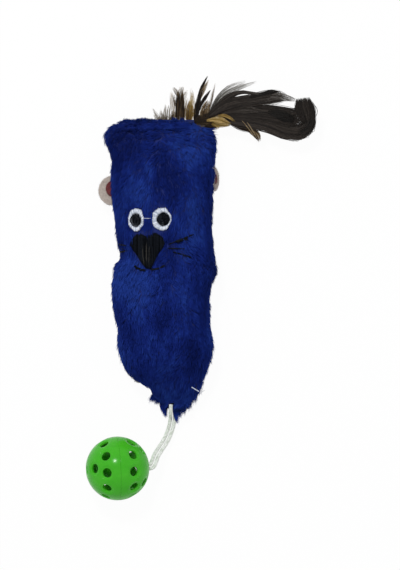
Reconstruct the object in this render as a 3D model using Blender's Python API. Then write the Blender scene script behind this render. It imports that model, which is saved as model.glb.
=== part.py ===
"""Stuffed plush kicker toy for cats, with a stitched animal face, feathers and a perforated ball on a cord.

The toy lies on its back on the floor: +Z is up through the face, +Y runs towards the feathered top seam
and the cord leaves the narrow end towards -Y. The origin is the middle of the flat that it rests on.
"""

import math

import bmesh
import bpy
import numpy as np
from mathutils import Matrix, Vector

for leftover in list(bpy.data.objects):
    bpy.data.objects.remove(leftover, do_unlink=True)

MM = 0.001

# Fits that the whole toy shares
fit_gap = 0.3 * MM
cut_overrun = 0.5 * MM
tiny = 0.01 * MM

# Plush tube: length each side of the neck, width, crown above the seam and seam height above the floor
neck_y = 7.9 * MM
head_length = 90.1 * MM
head_width = 72.0 * MM
head_crown = 25.0 * MM
lower_length = 96.4 * MM
lower_width = 65.4 * MM
lower_crown = 27.0 * MM
seam_height = 19.0 * MM
plush_wall = 1.8 * MM
allowance_depth = 4.5 * MM
allowance_thickness = 1.2 * MM
crown_power = 2.15
belly_power = 2.5
arc_steps = 14
longest_station = 8.5 * MM

# Each row: place along the head from neck to top seam, then centre and half width as shares of the width,
# seam height as a share of the seam height, crown as a share of the crown, and depth as a share of the
# seam height
head_shares = (
    (0.00, 0.051, 0.417, 1.00, 0.89, 1.02),
    (0.06, 0.042, 0.414, 1.00, 0.91, 1.04),
    (0.14, 0.028, 0.422, 1.00, 0.94, 1.04),
    (0.26, 0.014, 0.433, 1.00, 0.97, 1.04),
    (0.42, 0.003, 0.446, 1.00, 1.00, 1.04),
    (0.60, 0.003, 0.454, 1.00, 1.00, 1.04),
    (0.74, 0.008, 0.464, 0.98, 0.93, 1.00),
    (0.84, -0.006, 0.489, 0.90, 0.78, 0.86),
    (0.89, -0.017, 0.500, 0.84, 0.65, 0.74),
    (0.935, -0.018, 0.471, 0.78, 0.50, 0.58),
    (0.97, -0.021, 0.408, 0.73, 0.34, 0.41),
    (1.00, -0.019, 0.346, 0.69, 0.19, 0.24),
)
# The same columns from the neck down to the tip
lower_shares = (
    (0.040, 0.037, 0.488, 1.00, 0.84, 1.03),
    (0.085, 0.028, 0.500, 1.00, 0.88, 1.04),
    (0.171, -0.005, 0.483, 1.00, 0.95, 1.04),
    (0.287, -0.011, 0.471, 1.00, 1.00, 1.04),
    (0.472, 0.020, 0.456, 1.00, 1.00, 1.04),
    (0.595, 0.034, 0.462, 0.99, 0.94, 1.03),
    (0.698, 0.035, 0.430, 0.95, 0.83, 0.97),
    (0.753, 0.041, 0.399, 0.89, 0.74, 0.87),
    (0.808, 0.061, 0.350, 0.82, 0.63, 0.76),
    (0.869, 0.098, 0.284, 0.73, 0.50, 0.60),
    (0.945, 0.134, 0.199, 0.60, 0.34, 0.42),
    (1.000, 0.118, 0.132, 0.50, 0.21, 0.27),
)

# Stuffing and the small pouch of herb between its two masses
filling_gap = 0.5 * MM
lower_stuffing_from_tip = 13.0 * MM
pouch_length = 17.0 * MM
pouch_width = 34.0 * MM
pouch_height = 20.0 * MM
pouch_power = 2.6
pouch_steps = 8

# Stitched face: satin stitch stands this far off the plush backing
stitch_height = 0.9 * MM
eye_y = 33.4 * MM
eye_left_share = -0.239
eye_right_share = -0.0056
eye_width = 14.0 * MM
eye_height = 15.8 * MM
pupil_width = 8.3 * MM
pupil_height = 9.1 * MM
pupil_shift = 0.6 * MM
eye_steps = 28
stitch_steps = 6
nose_across_share = -0.1236
nose_y = 12.6 * MM
nose_width = 22.0 * MM
nose_length = 24.0 * MM
nose_columns = 6
mouth_width = 1.0 * MM
whisker_width = 1.1 * MM

# Nose outline: place from the top to the stem as a share of its length, left and right edge of its width
nose_shares = (
    (0.00, -0.34, 0.32),
    (0.12, -0.42, 0.42),
    (0.30, -0.49, 0.50),
    (0.44, -0.42, 0.42),
    (0.58, -0.31, 0.31),
    (0.72, -0.23, 0.23),
    (0.86, -0.14, 0.15),
    (1.00, -0.07, 0.08),
)
# Mouth and whiskers: points as shares of the nose width and length, from the top middle of the nose
mouth_shares = (
    ((-0.48, -1.02), (-0.30, -1.09), (-0.13, -1.12)),
    ((0.10, -1.09), (0.35, -1.08), (0.52, -1.00)),
)
whisker_right_shares = (
    ((0.80, -0.22), (1.05, -0.12), (1.34, 0.02)),
    ((0.66, -0.42), (0.86, -0.43), (1.10, -0.43)),
    ((0.80, -0.56), (1.10, -0.64), (1.38, -0.72)),
)
whisker_left_shares = (
    ((-0.60, -0.20), (-0.70, -0.14), (-0.80, -0.06)),
    ((-0.60, -0.35), (-0.70, -0.33), (-0.80, -0.31)),
    ((-0.63, -0.56), (-0.74, -0.53), (-0.85, -0.50)),
)

# Felt ears: a round disc cut off at the side seam, with a smaller lining disc on its upper face
ear_radius = 10.2 * MM
ear_inset = 1.4 * MM
ear_felt = 1.2 * MM
lining_radius = 7.1 * MM
lining_felt = 0.8 * MM
lining_step = 0.9 * MM
ear_steps = 22
ear_edge_steps = 4
ear_left_y = 52.4 * MM
ear_right_y = 60.0 * MM
ear_right_fold = math.radians(65)

# Feather slot in the top seam, its binding inside, and the quills
slot_left_x = -5.0 * MM
slot_right_x = 29.0 * MM
slot_half_height = 1.9 * MM
quill_depth = 1.2 * MM
quill_radius = 0.55 * MM
plume_hinge_proud = 0.5 * MM
binding_length = 3.0 * MM
binding_half_height = 1.2 * MM
binding_bevel = 0.5 * MM
binding_bevel_steps = 2
vane_thickness = 0.9 * MM
vane_edge = 0.35 * MM

# Feather lengths, straight from root to tip
long_feather_length = 72.0 * MM
upper_feather_length = 57.0 * MM
wispy_feather_length = 42.0 * MM
fringe_length = 36.0 * MM
tuft_length = 17.0 * MM
tall_plume_length = 32.0 * MM
brown_plume_length = 23.5 * MM
yellow_plume_length = 14.5 * MM
sparse_plume_length = 11.5 * MM

# Roots along the top seam
long_root_x = 25.6 * MM
tall_root_x = 21.4 * MM
yellow_root_x = 17.2 * MM
brown_root_x = 11.4 * MM
sparse_root_x = -0.6 * MM

# Each row: offset from the quill's place in the seam's mouth to the right, outwards and up, then half width
# left and right of the spine, all as shares of that feather's length
long_feather_rows_share = (
    (0.000, 0.000, 0.000, 0.008, 0.008),
    (0.050, 0.039, 0.020, 0.020, 0.022),
    (0.140, 0.053, 0.045, 0.045, 0.050),
    (0.290, 0.051, 0.075, 0.085, 0.095),
    (0.430, 0.029, 0.095, 0.100, 0.120),
    (0.570, -0.004, 0.100, 0.100, 0.125),
    (0.700, -0.029, 0.095, 0.095, 0.120),
    (0.800, -0.035, 0.085, 0.070, 0.115),
    (0.891, -0.009, 0.080, 0.045, 0.105),
    (0.946, 0.041, 0.085, 0.040, 0.075),
    (0.951, 0.115, 0.095, 0.030, 0.040),
    (0.937, 0.179, 0.105, 0.008, 0.010),
)
upper_feather_rows_share = (
    (0.090, 0.070, 0.066, 0.010, 0.010),
    (0.223, 0.168, 0.110, 0.030, 0.030),
    (0.419, 0.214, 0.140, 0.050, 0.050),
    (0.639, 0.244, 0.158, 0.060, 0.060),
    (0.802, 0.279, 0.165, 0.070, 0.070),
    (0.928, 0.284, 0.160, 0.050, 0.055),
    (1.033, 0.267, 0.150, 0.020, 0.020),
)
wispy_feather_rows_share = (
    (0.070, 0.057, 0.054, 0.012, 0.012),
    (0.190, 0.200, 0.091, 0.030, 0.026),
    (0.330, 0.385, 0.098, 0.060, 0.055),
    (0.490, 0.525, 0.102, 0.070, 0.070),
    (0.660, 0.597, 0.104, 0.040, 0.040),
    (0.860, 0.620, 0.104, 0.008, 0.008),
)
fringe_rows_share = (
    (0.560, -0.018, 0.112, 0.015, 0.015),
    (0.720, -0.078, 0.105, 0.060, 0.055),
    (0.880, -0.178, 0.085, 0.065, 0.055),
    (1.000, -0.283, 0.060, 0.045, 0.040),
    (1.075, -0.388, 0.035, 0.012, 0.012),
)
tuft_rows_share = (
    (0.420, 0.135, 0.066, 0.035, 0.035),
    (0.560, 0.045, 0.045, 0.100, 0.090),
    (0.760, -0.035, 0.020, 0.140, 0.130),
    (0.960, -0.065, 0.000, 0.100, 0.100),
    (1.160, -0.045, -0.020, 0.020, 0.020),
)
tall_plume_rows_share = (
    (0.000, 0.000, 0.000, 0.020, 0.020),
    (0.030, 0.112, 0.050, 0.060, 0.060),
    (0.060, 0.312, 0.090, 0.070, 0.080),
    (0.120, 0.512, 0.120, 0.050, 0.070),
    (0.200, 0.712, 0.150, 0.035, 0.045),
    (0.290, 0.892, 0.170, 0.008, 0.008),
)
brown_plume_rows_share = (
    (0.000, 0.000, 0.000, 0.028, 0.028),
    (-0.010, 0.141, 0.060, 0.100, 0.090),
    (-0.040, 0.361, 0.160, 0.110, 0.100),
    (-0.080, 0.601, 0.250, 0.075, 0.070),
    (-0.140, 0.881, 0.310, 0.012, 0.012),
)
yellow_plume_rows_share = (
    (0.000, 0.000, 0.000, 0.042, 0.042),
    (0.030, 0.167, 0.060, 0.150, 0.120),
    (0.060, 0.427, 0.140, 0.160, 0.130),
    (0.120, 0.667, 0.190, 0.100, 0.080),
    (0.180, 0.857, 0.220, 0.015, 0.015),
)
sparse_plume_rows_share = (
    (0.000, 0.000, 0.000, 0.054, 0.054),
    (-0.020, 0.177, 0.060, 0.280, 0.300),
    (-0.060, 0.397, 0.130, 0.360, 0.340),
    (-0.100, 0.617, 0.180, 0.240, 0.220),
    (-0.140, 0.777, 0.200, 0.030, 0.030),
)

# Cord: two strands side by side from the knot at the tip to the knot inside the ball
strand_diameter = 2.6 * MM
knot_radius = 2.7 * MM
knot_proud = 1.6 * MM
knot_left_of_middle = 0.72 * MM
anchor_radius = 2.2 * MM
anchor_length = 9.0 * MM
cord_steps = 15
# The route midway between the strands, by hand, from the tip knot to the ball
cord_route = (
    (7.1 * MM, -93.3 * MM, 9.5 * MM),
    (6.9 * MM, -98.0 * MM, 8.3 * MM),
    (5.5 * MM, -105.5 * MM, 6.2 * MM),
    (2.3 * MM, -113.2 * MM, 6.4 * MM),
    (-1.5 * MM, -119.0 * MM, 9.6 * MM),
    (-3.9 * MM, -122.9 * MM, 13.2 * MM),
    (-5.3 * MM, -126.6 * MM, 16.1 * MM),
    (-6.6 * MM, -129.2 * MM, 17.65 * MM),
    (-9.4 * MM, -129.9 * MM, 18.23 * MM),
)

# Ball: two moulded halves with lapped rims, each with a pole hole and two rings of dished holes
ball_radius = 21.0 * MM
ball_wall = 2.0 * MM
ball_x = -29.3 * MM
ball_y = -130.8 * MM
pole_swing = 0.045
pole_tilt = -0.138
lap_height = 1.8 * MM
ball_hole_radius = 3.1 * MM
dish_radius = 5.0 * MM
dish_depth = 0.75 * MM
ring_one_angle = 1.11
ring_two_angle = 0.635
ring_one_holes = 10
ring_two_holes = 3
ring_one_turn = 0.709
ring_two_turn_right = 3.02
ring_two_turn_left = -0.12
ball_segments = 32
ball_arc_steps = 7
hole_sides = 12
ball_knot_radius = 4.4 * MM
knot_rings = 8
knot_segments = 12

# Nylon tag fastener near the right edge of the lower body
fastener_from_edge = 3.4 * MM
fastener_from_tip = 9.9 * MM
fastener_bar_length = 9.0 * MM
fastener_bar_radius = 0.55 * MM
fastener_back_length = 5.0 * MM
fastener_filament_radius = 0.4 * MM
fastener_turn = math.radians(-33)
fastener_back_turn = math.radians(75)
fastener_sides = 8

# Colours as linear RGB, and roughness
plush_blue = (0.006, 0.014, 0.110)
stuffing_white = (0.80, 0.80, 0.77)
pouch_cotton = (0.62, 0.58, 0.48)
stitch_white = (0.78, 0.80, 0.84)
stitch_black = (0.008, 0.009, 0.014)
ear_grey = (0.36, 0.30, 0.26)
ear_red = (0.22, 0.03, 0.035)
feather_grey = (0.040, 0.034, 0.031)
feather_pale = (0.16, 0.15, 0.14)
feather_brown = (0.050, 0.032, 0.020)
feather_yellow = (0.50, 0.33, 0.10)
cord_white = (0.70, 0.72, 0.68)
ball_green = (0.085, 0.46, 0.045)
nylon_white = (0.75, 0.76, 0.78)


def finish(name, colour, roughness):
    """A Principled material in one colour."""
    made = bpy.data.materials.new(name)
    made.use_nodes = True
    shader = made.node_tree.nodes["Principled BSDF"]
    shader.inputs["Base Color"].default_value = (*colour, 1.0)
    shader.inputs["Roughness"].default_value = roughness
    shader.inputs["Metallic"].default_value = 0.0
    return made


def solid(name, points, faces, look, smooth_angle=math.radians(40)):
    """An object from points and faces, with its faces turned outwards and its round sides shaded smooth."""
    mesh = bpy.data.meshes.new(name)
    mesh.from_pydata([tuple(point) for point in points], [], faces)
    shape = bmesh.new()
    shape.from_mesh(mesh)
    bmesh.ops.recalc_face_normals(shape, faces=shape.faces)
    shape.to_mesh(mesh)
    shape.free()
    mesh.shade_smooth()
    mesh.set_sharp_from_angle(angle=smooth_angle)
    mesh.materials.append(look)
    made = bpy.data.objects.new(name, mesh)
    bpy.context.scene.collection.objects.link(made)
    return made


def loft(rings, first=0):
    """Points and faces of the closed body through rings of equal count, capped at both ends."""
    count = len(rings[0])
    points = [point for ring in rings for point in ring]
    faces = []
    for row in range(len(rings) - 1):
        for column in range(count):
            after = (column + 1) % count
            low = first + row * count
            high = low + count
            faces.append((low + column, low + after, high + after, high + column))
    faces.append(tuple(first + column for column in range(count)))
    last = first + (len(rings) - 1) * count
    faces.append(tuple(last + column for column in reversed(range(count))))
    return points, faces


def joined_lofts(groups):
    """Points and faces of several separate lofted bodies in one mesh."""
    points = []
    faces = []
    for rings in groups:
        more_points, more_faces = loft(rings, first=len(points))
        points.extend(more_points)
        faces.extend(more_faces)
    return points, faces


def revolve(profile, segments):
    """Points and faces of a closed profile of (radius, height) turned about Z, clear of the axis."""
    count = len(profile)
    points = []
    faces = []
    for turn in range(segments):
        angle = 2 * math.pi * turn / segments
        for radius, height in profile:
            points.append((radius * math.cos(angle), radius * math.sin(angle), height))
    for turn in range(segments):
        here = turn * count
        there = (turn + 1) % segments * count
        for row in range(count):
            after = (row + 1) % count
            faces.append((here + row, there + row, there + after, here + after))
    return points, faces


def cut(piece, cutter):
    """Takes the cutter out of the piece, and keeps the cutter as a wire guide."""
    cutter.hide_render = True
    cutter.display_type = "WIRE"
    step = piece.modifiers.new(cutter.name, "BOOLEAN")
    step.operation = "DIFFERENCE"
    step.solver = "EXACT"
    step.object = cutter


def fuse(piece, other):
    """Joins the other body to the piece, and keeps the other as a wire guide."""
    cut(piece, other)
    piece.modifiers[-1].operation = "UNION"


def pivot_at(name, place, turn=(0, 0, 0)):
    """An empty on a joint's axis."""
    pivot = bpy.data.objects.new(name, None)
    pivot.location = place
    pivot.rotation_euler = turn
    bpy.context.scene.collection.objects.link(pivot)
    return pivot


def carry(piece, pivot):
    """Parents a piece to an unturned pivot, and leaves the piece where it is."""
    piece.parent = pivot
    piece.matrix_parent_inverse = Matrix.Translation(pivot.location).inverted()


def smooth_rows(rows):
    """A function that reads the columns of rows at any place along the first column, on a smooth curve."""
    table = np.array(sorted(rows), dtype=float)
    places = table[:, 0]
    values = table[:, 1:]
    slopes = np.gradient(values, places, axis=0)

    def read(place):
        place = min(max(place, places[0]), places[-1])
        row = int(np.clip(np.searchsorted(places, place) - 1, 0, len(places) - 2))
        span = places[row + 1] - places[row]
        share = (place - places[row]) / span
        rise = share * share * (3 - 2 * share)
        lead = share * (1 - share) ** 2
        trail = share * share * (share - 1)
        return (
            values[row] * (1 - rise)
            + values[row + 1] * rise
            + slopes[row] * span * lead
            + slopes[row + 1] * span * trail
        )

    return read, [float(place) for place in places]


def smooth_path(points, steps):
    """Evenly numbered points on a smooth curve through the given ones."""
    lengths = [0.0]
    for before, after in zip(points, points[1:]):
        lengths.append(lengths[-1] + math.dist(before, after))
    read, _ = smooth_rows([(length, *point) for length, point in zip(lengths, points)])
    return [Vector(read(lengths[-1] * step / steps)) for step in range(steps + 1)]


# The tube's sections in real sizes: centre, half width, seam height, crown and depth at a place along Y
body_rows = []
for along, centre, half, seam, crown, depth in head_shares:
    body_rows.append(
        (
            neck_y + along * head_length,
            centre * head_width,
            half * head_width,
            seam * seam_height,
            crown * head_crown,
            depth * seam_height,
        )
    )
for along, centre, half, seam, crown, depth in lower_shares:
    body_rows.append(
        (
            neck_y - along * lower_length,
            centre * lower_width,
            half * lower_width,
            seam * seam_height,
            crown * lower_crown,
            depth * seam_height,
        )
    )
tip_y = neck_y - lower_length
top_y = neck_y + head_length
read_section, row_places = smooth_rows(body_rows)
station_places = row_places[:1]
for before, after in zip(row_places, row_places[1:]):
    parts = max(1, math.ceil((after - before) / longest_station))
    station_places.extend(before + (after - before) * part / parts for part in range(1, parts + 1))
station_table = np.array([read_section(place) for place in station_places])


def section_at(place):
    """Centre, half width, seam height, crown and depth there, straight from one station to the next."""
    return [float(np.interp(place, station_places, column)) for column in station_table.T]


def stations(start, stop):
    """The shared stations between start and stop, with these two as its ends."""
    inner = [place for place in station_places if start + tiny < place < stop - tiny]
    return [start, *inner, stop]


def arc(centre, half, base, rise, power):
    """Points of a dome section from its right foot over the top to its left foot; below, rise is negative."""
    points = []
    for step in range(arc_steps + 1):
        angle = math.pi * step / arc_steps
        across = math.copysign(abs(math.cos(angle)) ** (2 / power), math.cos(angle))
        points.append((centre + half * across, base + rise * abs(math.sin(angle)) ** (2 / power)))
    return points


def dome(name, side, inset, base_lift, start, stop, look):
    """A closed half tube above or below the seam, drawn in by inset, with its flat base lifted off it."""
    rings = []
    for place in stations(start, stop):
        centre, half, seam, crown, depth = section_at(place)
        height = crown if side > 0 else depth
        power = crown_power if side > 0 else belly_power
        base = seam + side * base_lift
        line = arc(centre, half - inset, base, side * (height - inset - base_lift), power)
        rings.append([(x, place, max(z, inset)) for x, z in line])
    points, faces = loft(rings)
    return solid(name, points, faces, look)


def seam_opening(name, look):
    """The space inside the turned-in seam allowances, through both of them."""
    reach = fit_gap / 2 + allowance_thickness + cut_overrun
    inset = plush_wall + allowance_depth
    rings = []
    for place in stations(tip_y + inset, top_y - inset):
        centre, half, seam, _, _ = section_at(place)
        left = centre - half + inset
        right = centre + half - inset
        corners = ((right, seam - reach), (right, seam + reach), (left, seam + reach), (left, seam - reach))
        rings.append([(x, place, z) for x, z in corners])
    points, faces = loft(rings)
    return solid(name, points, faces, look)


def stuffing(name, start, stop, look):
    """A mass of filling with a groove round it for the seam allowances."""
    inset = plush_wall + filling_gap
    lip = fit_gap / 2 + allowance_thickness + filling_gap
    rings = []
    for place in stations(start, stop):
        centre, half, seam, crown, depth = section_at(place)
        waist = half - plush_wall - allowance_depth - filling_gap
        upper = arc(centre, half - inset, seam + lip, crown - inset - lip, crown_power)
        lower = arc(centre, half - inset, seam - lip, lip + inset - depth, belly_power)
        line = upper
        line.append((centre - waist, seam + lip))
        line.append((centre - waist, seam - lip))
        line.extend(reversed(lower))
        line.append((centre + waist, seam - lip))
        line.append((centre + waist, seam + lip))
        rings.append([(x, place, max(z, inset)) for x, z in line])
    points, faces = loft(rings)
    return solid(name, points, faces, look)


def cover_level(x, y, side=1):
    """The height of the outer face of the front cover, or of the back cover for a side of -1."""
    centre, half, seam, crown, depth = section_at(y)
    height, power = (crown, crown_power) if side > 0 else (depth, belly_power)
    share = min(abs(x - centre) / half, 1.0)
    return seam + side * height * (1 - share**power) ** (1 / power)


def cover_normal(x, y, side=1):
    """The outward direction there."""
    step = fit_gap
    slope_x = (cover_level(x + step, y, side) - cover_level(x - step, y, side)) / (2 * step)
    slope_y = (cover_level(x, y + step, side) - cover_level(x, y - step, side)) / (2 * step)
    return side * Vector((-slope_x, -slope_y, 1)).normalized()


def on_face(x, y, height):
    """The point this high above the outer face of the front cover, square to it."""
    return Vector((x, y, cover_level(x, y))) + cover_normal(x, y) * height


def cylinder(name, start, end, radius, sides, look):
    """A closed cylinder between two points."""
    axis = (Vector(end) - Vector(start)).normalized()
    side = axis.orthogonal().normalized()
    other = axis.cross(side)
    rings = []
    for place in (Vector(start), Vector(end)):
        ring = []
        for step in range(sides):
            angle = 2 * math.pi * step / sides
            ring.append(place + radius * (side * math.cos(angle) + other * math.sin(angle)))
        rings.append(ring)
    points, faces = loft(rings)
    return solid(name, points, faces, look)


def ball_shape(name, centre, radius, look):
    """A small sphere."""
    mesh = bpy.data.meshes.new(name)
    shape = bmesh.new()
    bmesh.ops.create_uvsphere(shape, u_segments=knot_segments, v_segments=knot_rings, radius=radius)
    shape.to_mesh(mesh)
    shape.free()
    mesh.shade_smooth()
    mesh.materials.append(look)
    made = bpy.data.objects.new(name, mesh)
    made.location = centre
    bpy.context.scene.collection.objects.link(made)
    return made


plush = finish("plush", plush_blue, 0.9)
guide = finish("guide", stuffing_white, 0.9)

# The two ends, where the feathers and the cord come out
top_seam_z = section_at(top_y)[2]
tip_middle, _, tip_seam_z, _, _ = section_at(tip_y)
knot_centre = Vector((tip_middle - knot_left_of_middle, tip_y - knot_proud, tip_seam_z))

# Covers: two panels of plush, each with its seam allowance turned in
front_cover = dome("front_cover", 1, 0.0, fit_gap / 2, tip_y, top_y, plush)
back_cover = dome("back_cover", -1, 0.0, fit_gap / 2, tip_y, top_y, finish("plush_back", plush_blue, 0.9))
cavity_base = fit_gap / 2 + allowance_thickness
front_cavity = dome(
    "front_cavity", 1, plush_wall, cavity_base, tip_y + plush_wall, top_y - plush_wall, guide
)
back_cavity = dome(
    "back_cavity", -1, plush_wall, cavity_base, tip_y + plush_wall, top_y - plush_wall, guide
)
opening = seam_opening("allowance_opening", guide)
knot_seat = ball_shape("knot_seat", knot_centre, knot_radius + fit_gap, guide)
anchor_start = knot_centre + Vector((0, knot_radius + fit_gap, 0))
anchor_end = anchor_start + Vector((0, anchor_length, 0))
anchor_channel = cylinder(
    "anchor_channel",
    knot_centre,
    anchor_end + Vector((0, fit_gap, 0)),
    anchor_radius + fit_gap,
    hole_sides,
    guide,
)
slot_y = top_y - quill_depth - fit_gap - binding_length - fit_gap
slot_corners = [
    (slot_left_x, top_seam_z - slot_half_height),
    (slot_right_x, top_seam_z - slot_half_height),
    (slot_right_x, top_seam_z + slot_half_height),
    (slot_left_x, top_seam_z + slot_half_height),
]
slot_rings = [[(x, y, z) for x, z in slot_corners] for y in (slot_y, top_y + cut_overrun)]
slot_points, slot_faces = loft(slot_rings)
feather_slot = solid("feather_slot", slot_points, slot_faces, guide)
fastener_y = tip_y + fastener_from_tip
fastener_middle, fastener_half, fastener_seam, fastener_crown, fastener_depth = section_at(fastener_y)
fastener_x = fastener_middle + fastener_half - fastener_from_edge
fastener_low = Vector((fastener_x, fastener_y, fastener_seam - fastener_depth - cut_overrun))
fastener_high = Vector((fastener_x, fastener_y, fastener_seam + fastener_crown + cut_overrun))
fastener_hole = cylinder(
    "fastener_hole",
    fastener_low,
    fastener_high,
    fastener_filament_radius + fit_gap,
    fastener_sides,
    guide,
)
for cover, cavity in ((front_cover, front_cavity), (back_cover, back_cavity)):
    for cutter in (cavity, opening, knot_seat, anchor_channel, feather_slot, fastener_hole):
        cut(cover, cutter)

# Stuffing in two masses, with the herb pouch between them
pouch_y = neck_y
pouch_room = pouch_length / 2 + fit_gap
end_inset = plush_wall + allowance_depth + fit_gap
fibre = finish("fibre", stuffing_white, 1.0)
stuffing("head_filling", pouch_y + pouch_room, top_y - end_inset - binding_length, fibre)
stuffing("body_filling", tip_y + lower_stuffing_from_tip, pouch_y - pouch_room, fibre)
pouch_centre, _, pouch_seam, _, _ = section_at(pouch_y)
pouch_rings = []
for step in range(pouch_steps + 1):
    place = -1 + 2 * step / pouch_steps
    place = math.copysign(min(abs(place), 1 - 1 / pouch_steps**2), place)
    swell = (1 - abs(place) ** pouch_power) ** (1 / pouch_power)
    ring = []
    for turn in range(2 * pouch_steps):
        angle = math.pi * turn / pouch_steps
        across = math.copysign(abs(math.cos(angle)) ** (2 / pouch_power), math.cos(angle))
        rise = math.copysign(abs(math.sin(angle)) ** (2 / pouch_power), math.sin(angle))
        ring.append(
            (
                pouch_centre + across * swell * pouch_width / 2,
                pouch_y + place * pouch_length / 2,
                pouch_seam + rise * swell * pouch_height / 2,
            )
        )
    pouch_rings.append(ring)
pouch_points, pouch_faces = loft(pouch_rings)
solid("catnip_pouch", pouch_points, pouch_faces, finish("pouch_cotton", pouch_cotton, 0.95))


def oval(centre_x, centre_y, width, height, clearance, level):
    """Points of an oval on the face, drawn in by the clearance."""
    ring = []
    for step in range(eye_steps):
        angle = 2 * math.pi * step / eye_steps
        x = centre_x + (width / 2 - clearance) * math.cos(angle)
        y = centre_y + (height / 2 - clearance) * math.sin(angle)
        ring.append(on_face(x, y, level))
    return ring


def eye(side_name, x, pupil_x):
    """A stitched white ring with a stitched pupil seated in it."""
    low = fit_gap
    high = fit_gap + stitch_height
    rings = [
        oval(x, eye_y, eye_width, eye_height, 0, low),
        oval(x, eye_y, eye_width, eye_height, 0, high),
        oval(pupil_x, eye_y, pupil_width, pupil_height, -fit_gap, high),
        oval(pupil_x, eye_y, pupil_width, pupil_height, -fit_gap, low),
    ]
    points = [point for ring in rings for point in ring]
    faces = []
    for row in range(len(rings)):
        here = row * eye_steps
        there = (row + 1) % len(rings) * eye_steps
        for step in range(eye_steps):
            after = (step + 1) % eye_steps
            faces.append((here + step, here + after, there + after, there + step))
    solid("eye_white_" + side_name, points, faces, finish("eye_white_" + side_name, stitch_white, 0.6))

    points = oval(pupil_x, eye_y, pupil_width, pupil_height, 0, low)
    points += oval(pupil_x, eye_y, pupil_width, pupil_height, 0, high)
    points.append(on_face(pupil_x, eye_y, low))
    points.append(on_face(pupil_x, eye_y, high))
    middle = 2 * eye_steps
    faces = []
    for step in range(eye_steps):
        after = (step + 1) % eye_steps
        faces.append((step, after, eye_steps + after, eye_steps + step))
        faces.append((step, after, middle))
        faces.append((eye_steps + step, eye_steps + after, middle + 1))
    solid("pupil_" + side_name, points, faces, finish("pupil_" + side_name, stitch_black, 0.5))


eye_left_x = eye_left_share * head_width
eye_right_x = eye_right_share * head_width
eye("left", eye_left_x, eye_left_x)
eye("right", eye_right_x, eye_right_x + pupil_shift)

# Nose: a grid that follows the face, thickened square to it
nose_x = nose_across_share * head_width
nose_top_y = nose_y + nose_length / 2
nose_points = []
for level in (fit_gap, fit_gap + stitch_height):
    for along, left, right in nose_shares:
        for column in range(nose_columns + 1):
            across = left + (right - left) * column / nose_columns
            nose_points.append(
                on_face(nose_x + across * nose_width, nose_top_y - along * nose_length, level)
            )
nose_row = nose_columns + 1
nose_layer = nose_row * len(nose_shares)
nose_rim = [column for column in range(nose_row)]
nose_rim += [row * nose_row + nose_columns for row in range(1, len(nose_shares))]
nose_rim += [(len(nose_shares) - 1) * nose_row + column for column in reversed(range(nose_columns))]
nose_rim += [row * nose_row for row in reversed(range(1, len(nose_shares) - 1))]
nose_faces = []
for row in range(len(nose_shares) - 1):
    for column in range(nose_columns):
        corner = row * nose_row + column
        quad = (corner, corner + 1, corner + nose_row + 1, corner + nose_row)
        nose_faces.append(quad)
        nose_faces.append(tuple(index + nose_layer for index in quad))
for here, there in zip(nose_rim, nose_rim[1:] + nose_rim[:1]):
    nose_faces.append((here, there, there + nose_layer, here + nose_layer))
solid("nose", nose_points, nose_faces, finish("nose", stitch_black, 0.45))


def stitch_line(points, width):
    """Rings of a flat line of stitches that follows the face through the given points."""
    path = smooth_path([(x, y, 0) for x, y in points], stitch_steps)
    rings = []
    for step, place in enumerate(path):
        before = path[max(step - 1, 0)]
        after = path[min(step + 1, len(path) - 1)]
        run = (after - before).normalized()
        side = Vector((-run.y, run.x, 0)) * width / 2
        left = place + side
        right = place - side
        rings.append(
            [
                on_face(left.x, left.y, fit_gap),
                on_face(right.x, right.y, fit_gap),
                on_face(right.x, right.y, fit_gap + stitch_height),
                on_face(left.x, left.y, fit_gap + stitch_height),
            ]
        )
    return rings


def stitch_lines(names, lines, width, look):
    """Lines of stitches, each its own piece, placed by shares of the nose."""
    for name, line in zip(names, lines):
        route = [(nose_x + x * nose_width, nose_top_y + y * nose_length) for x, y in line]
        points, faces = loft(stitch_line(route, width))
        solid(name, points, faces, look)


thread_black = finish("thread_black", stitch_black, 0.6)
whisker_names = ("upper", "middle", "lower")
stitch_lines(("mouth_left", "mouth_right"), mouth_shares, mouth_width, thread_black)
stitch_lines(
    ["whisker_left_" + place for place in whisker_names], whisker_left_shares, whisker_width, thread_black
)
stitch_lines(
    ["whisker_right_" + place for place in whisker_names], whisker_right_shares, whisker_width, thread_black
)


def ear_outline(radius, inset, root):
    """A disc's outline from root, the line that cuts it off, as (outwards, along) pairs."""
    start = math.acos(min(1.0, (inset + root) / radius))
    points = []
    for step in range(ear_steps + 1):
        angle = -start + 2 * start * step / ear_steps
        points.append((radius * math.cos(angle) - inset, radius * math.sin(angle)))
    return points


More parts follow.
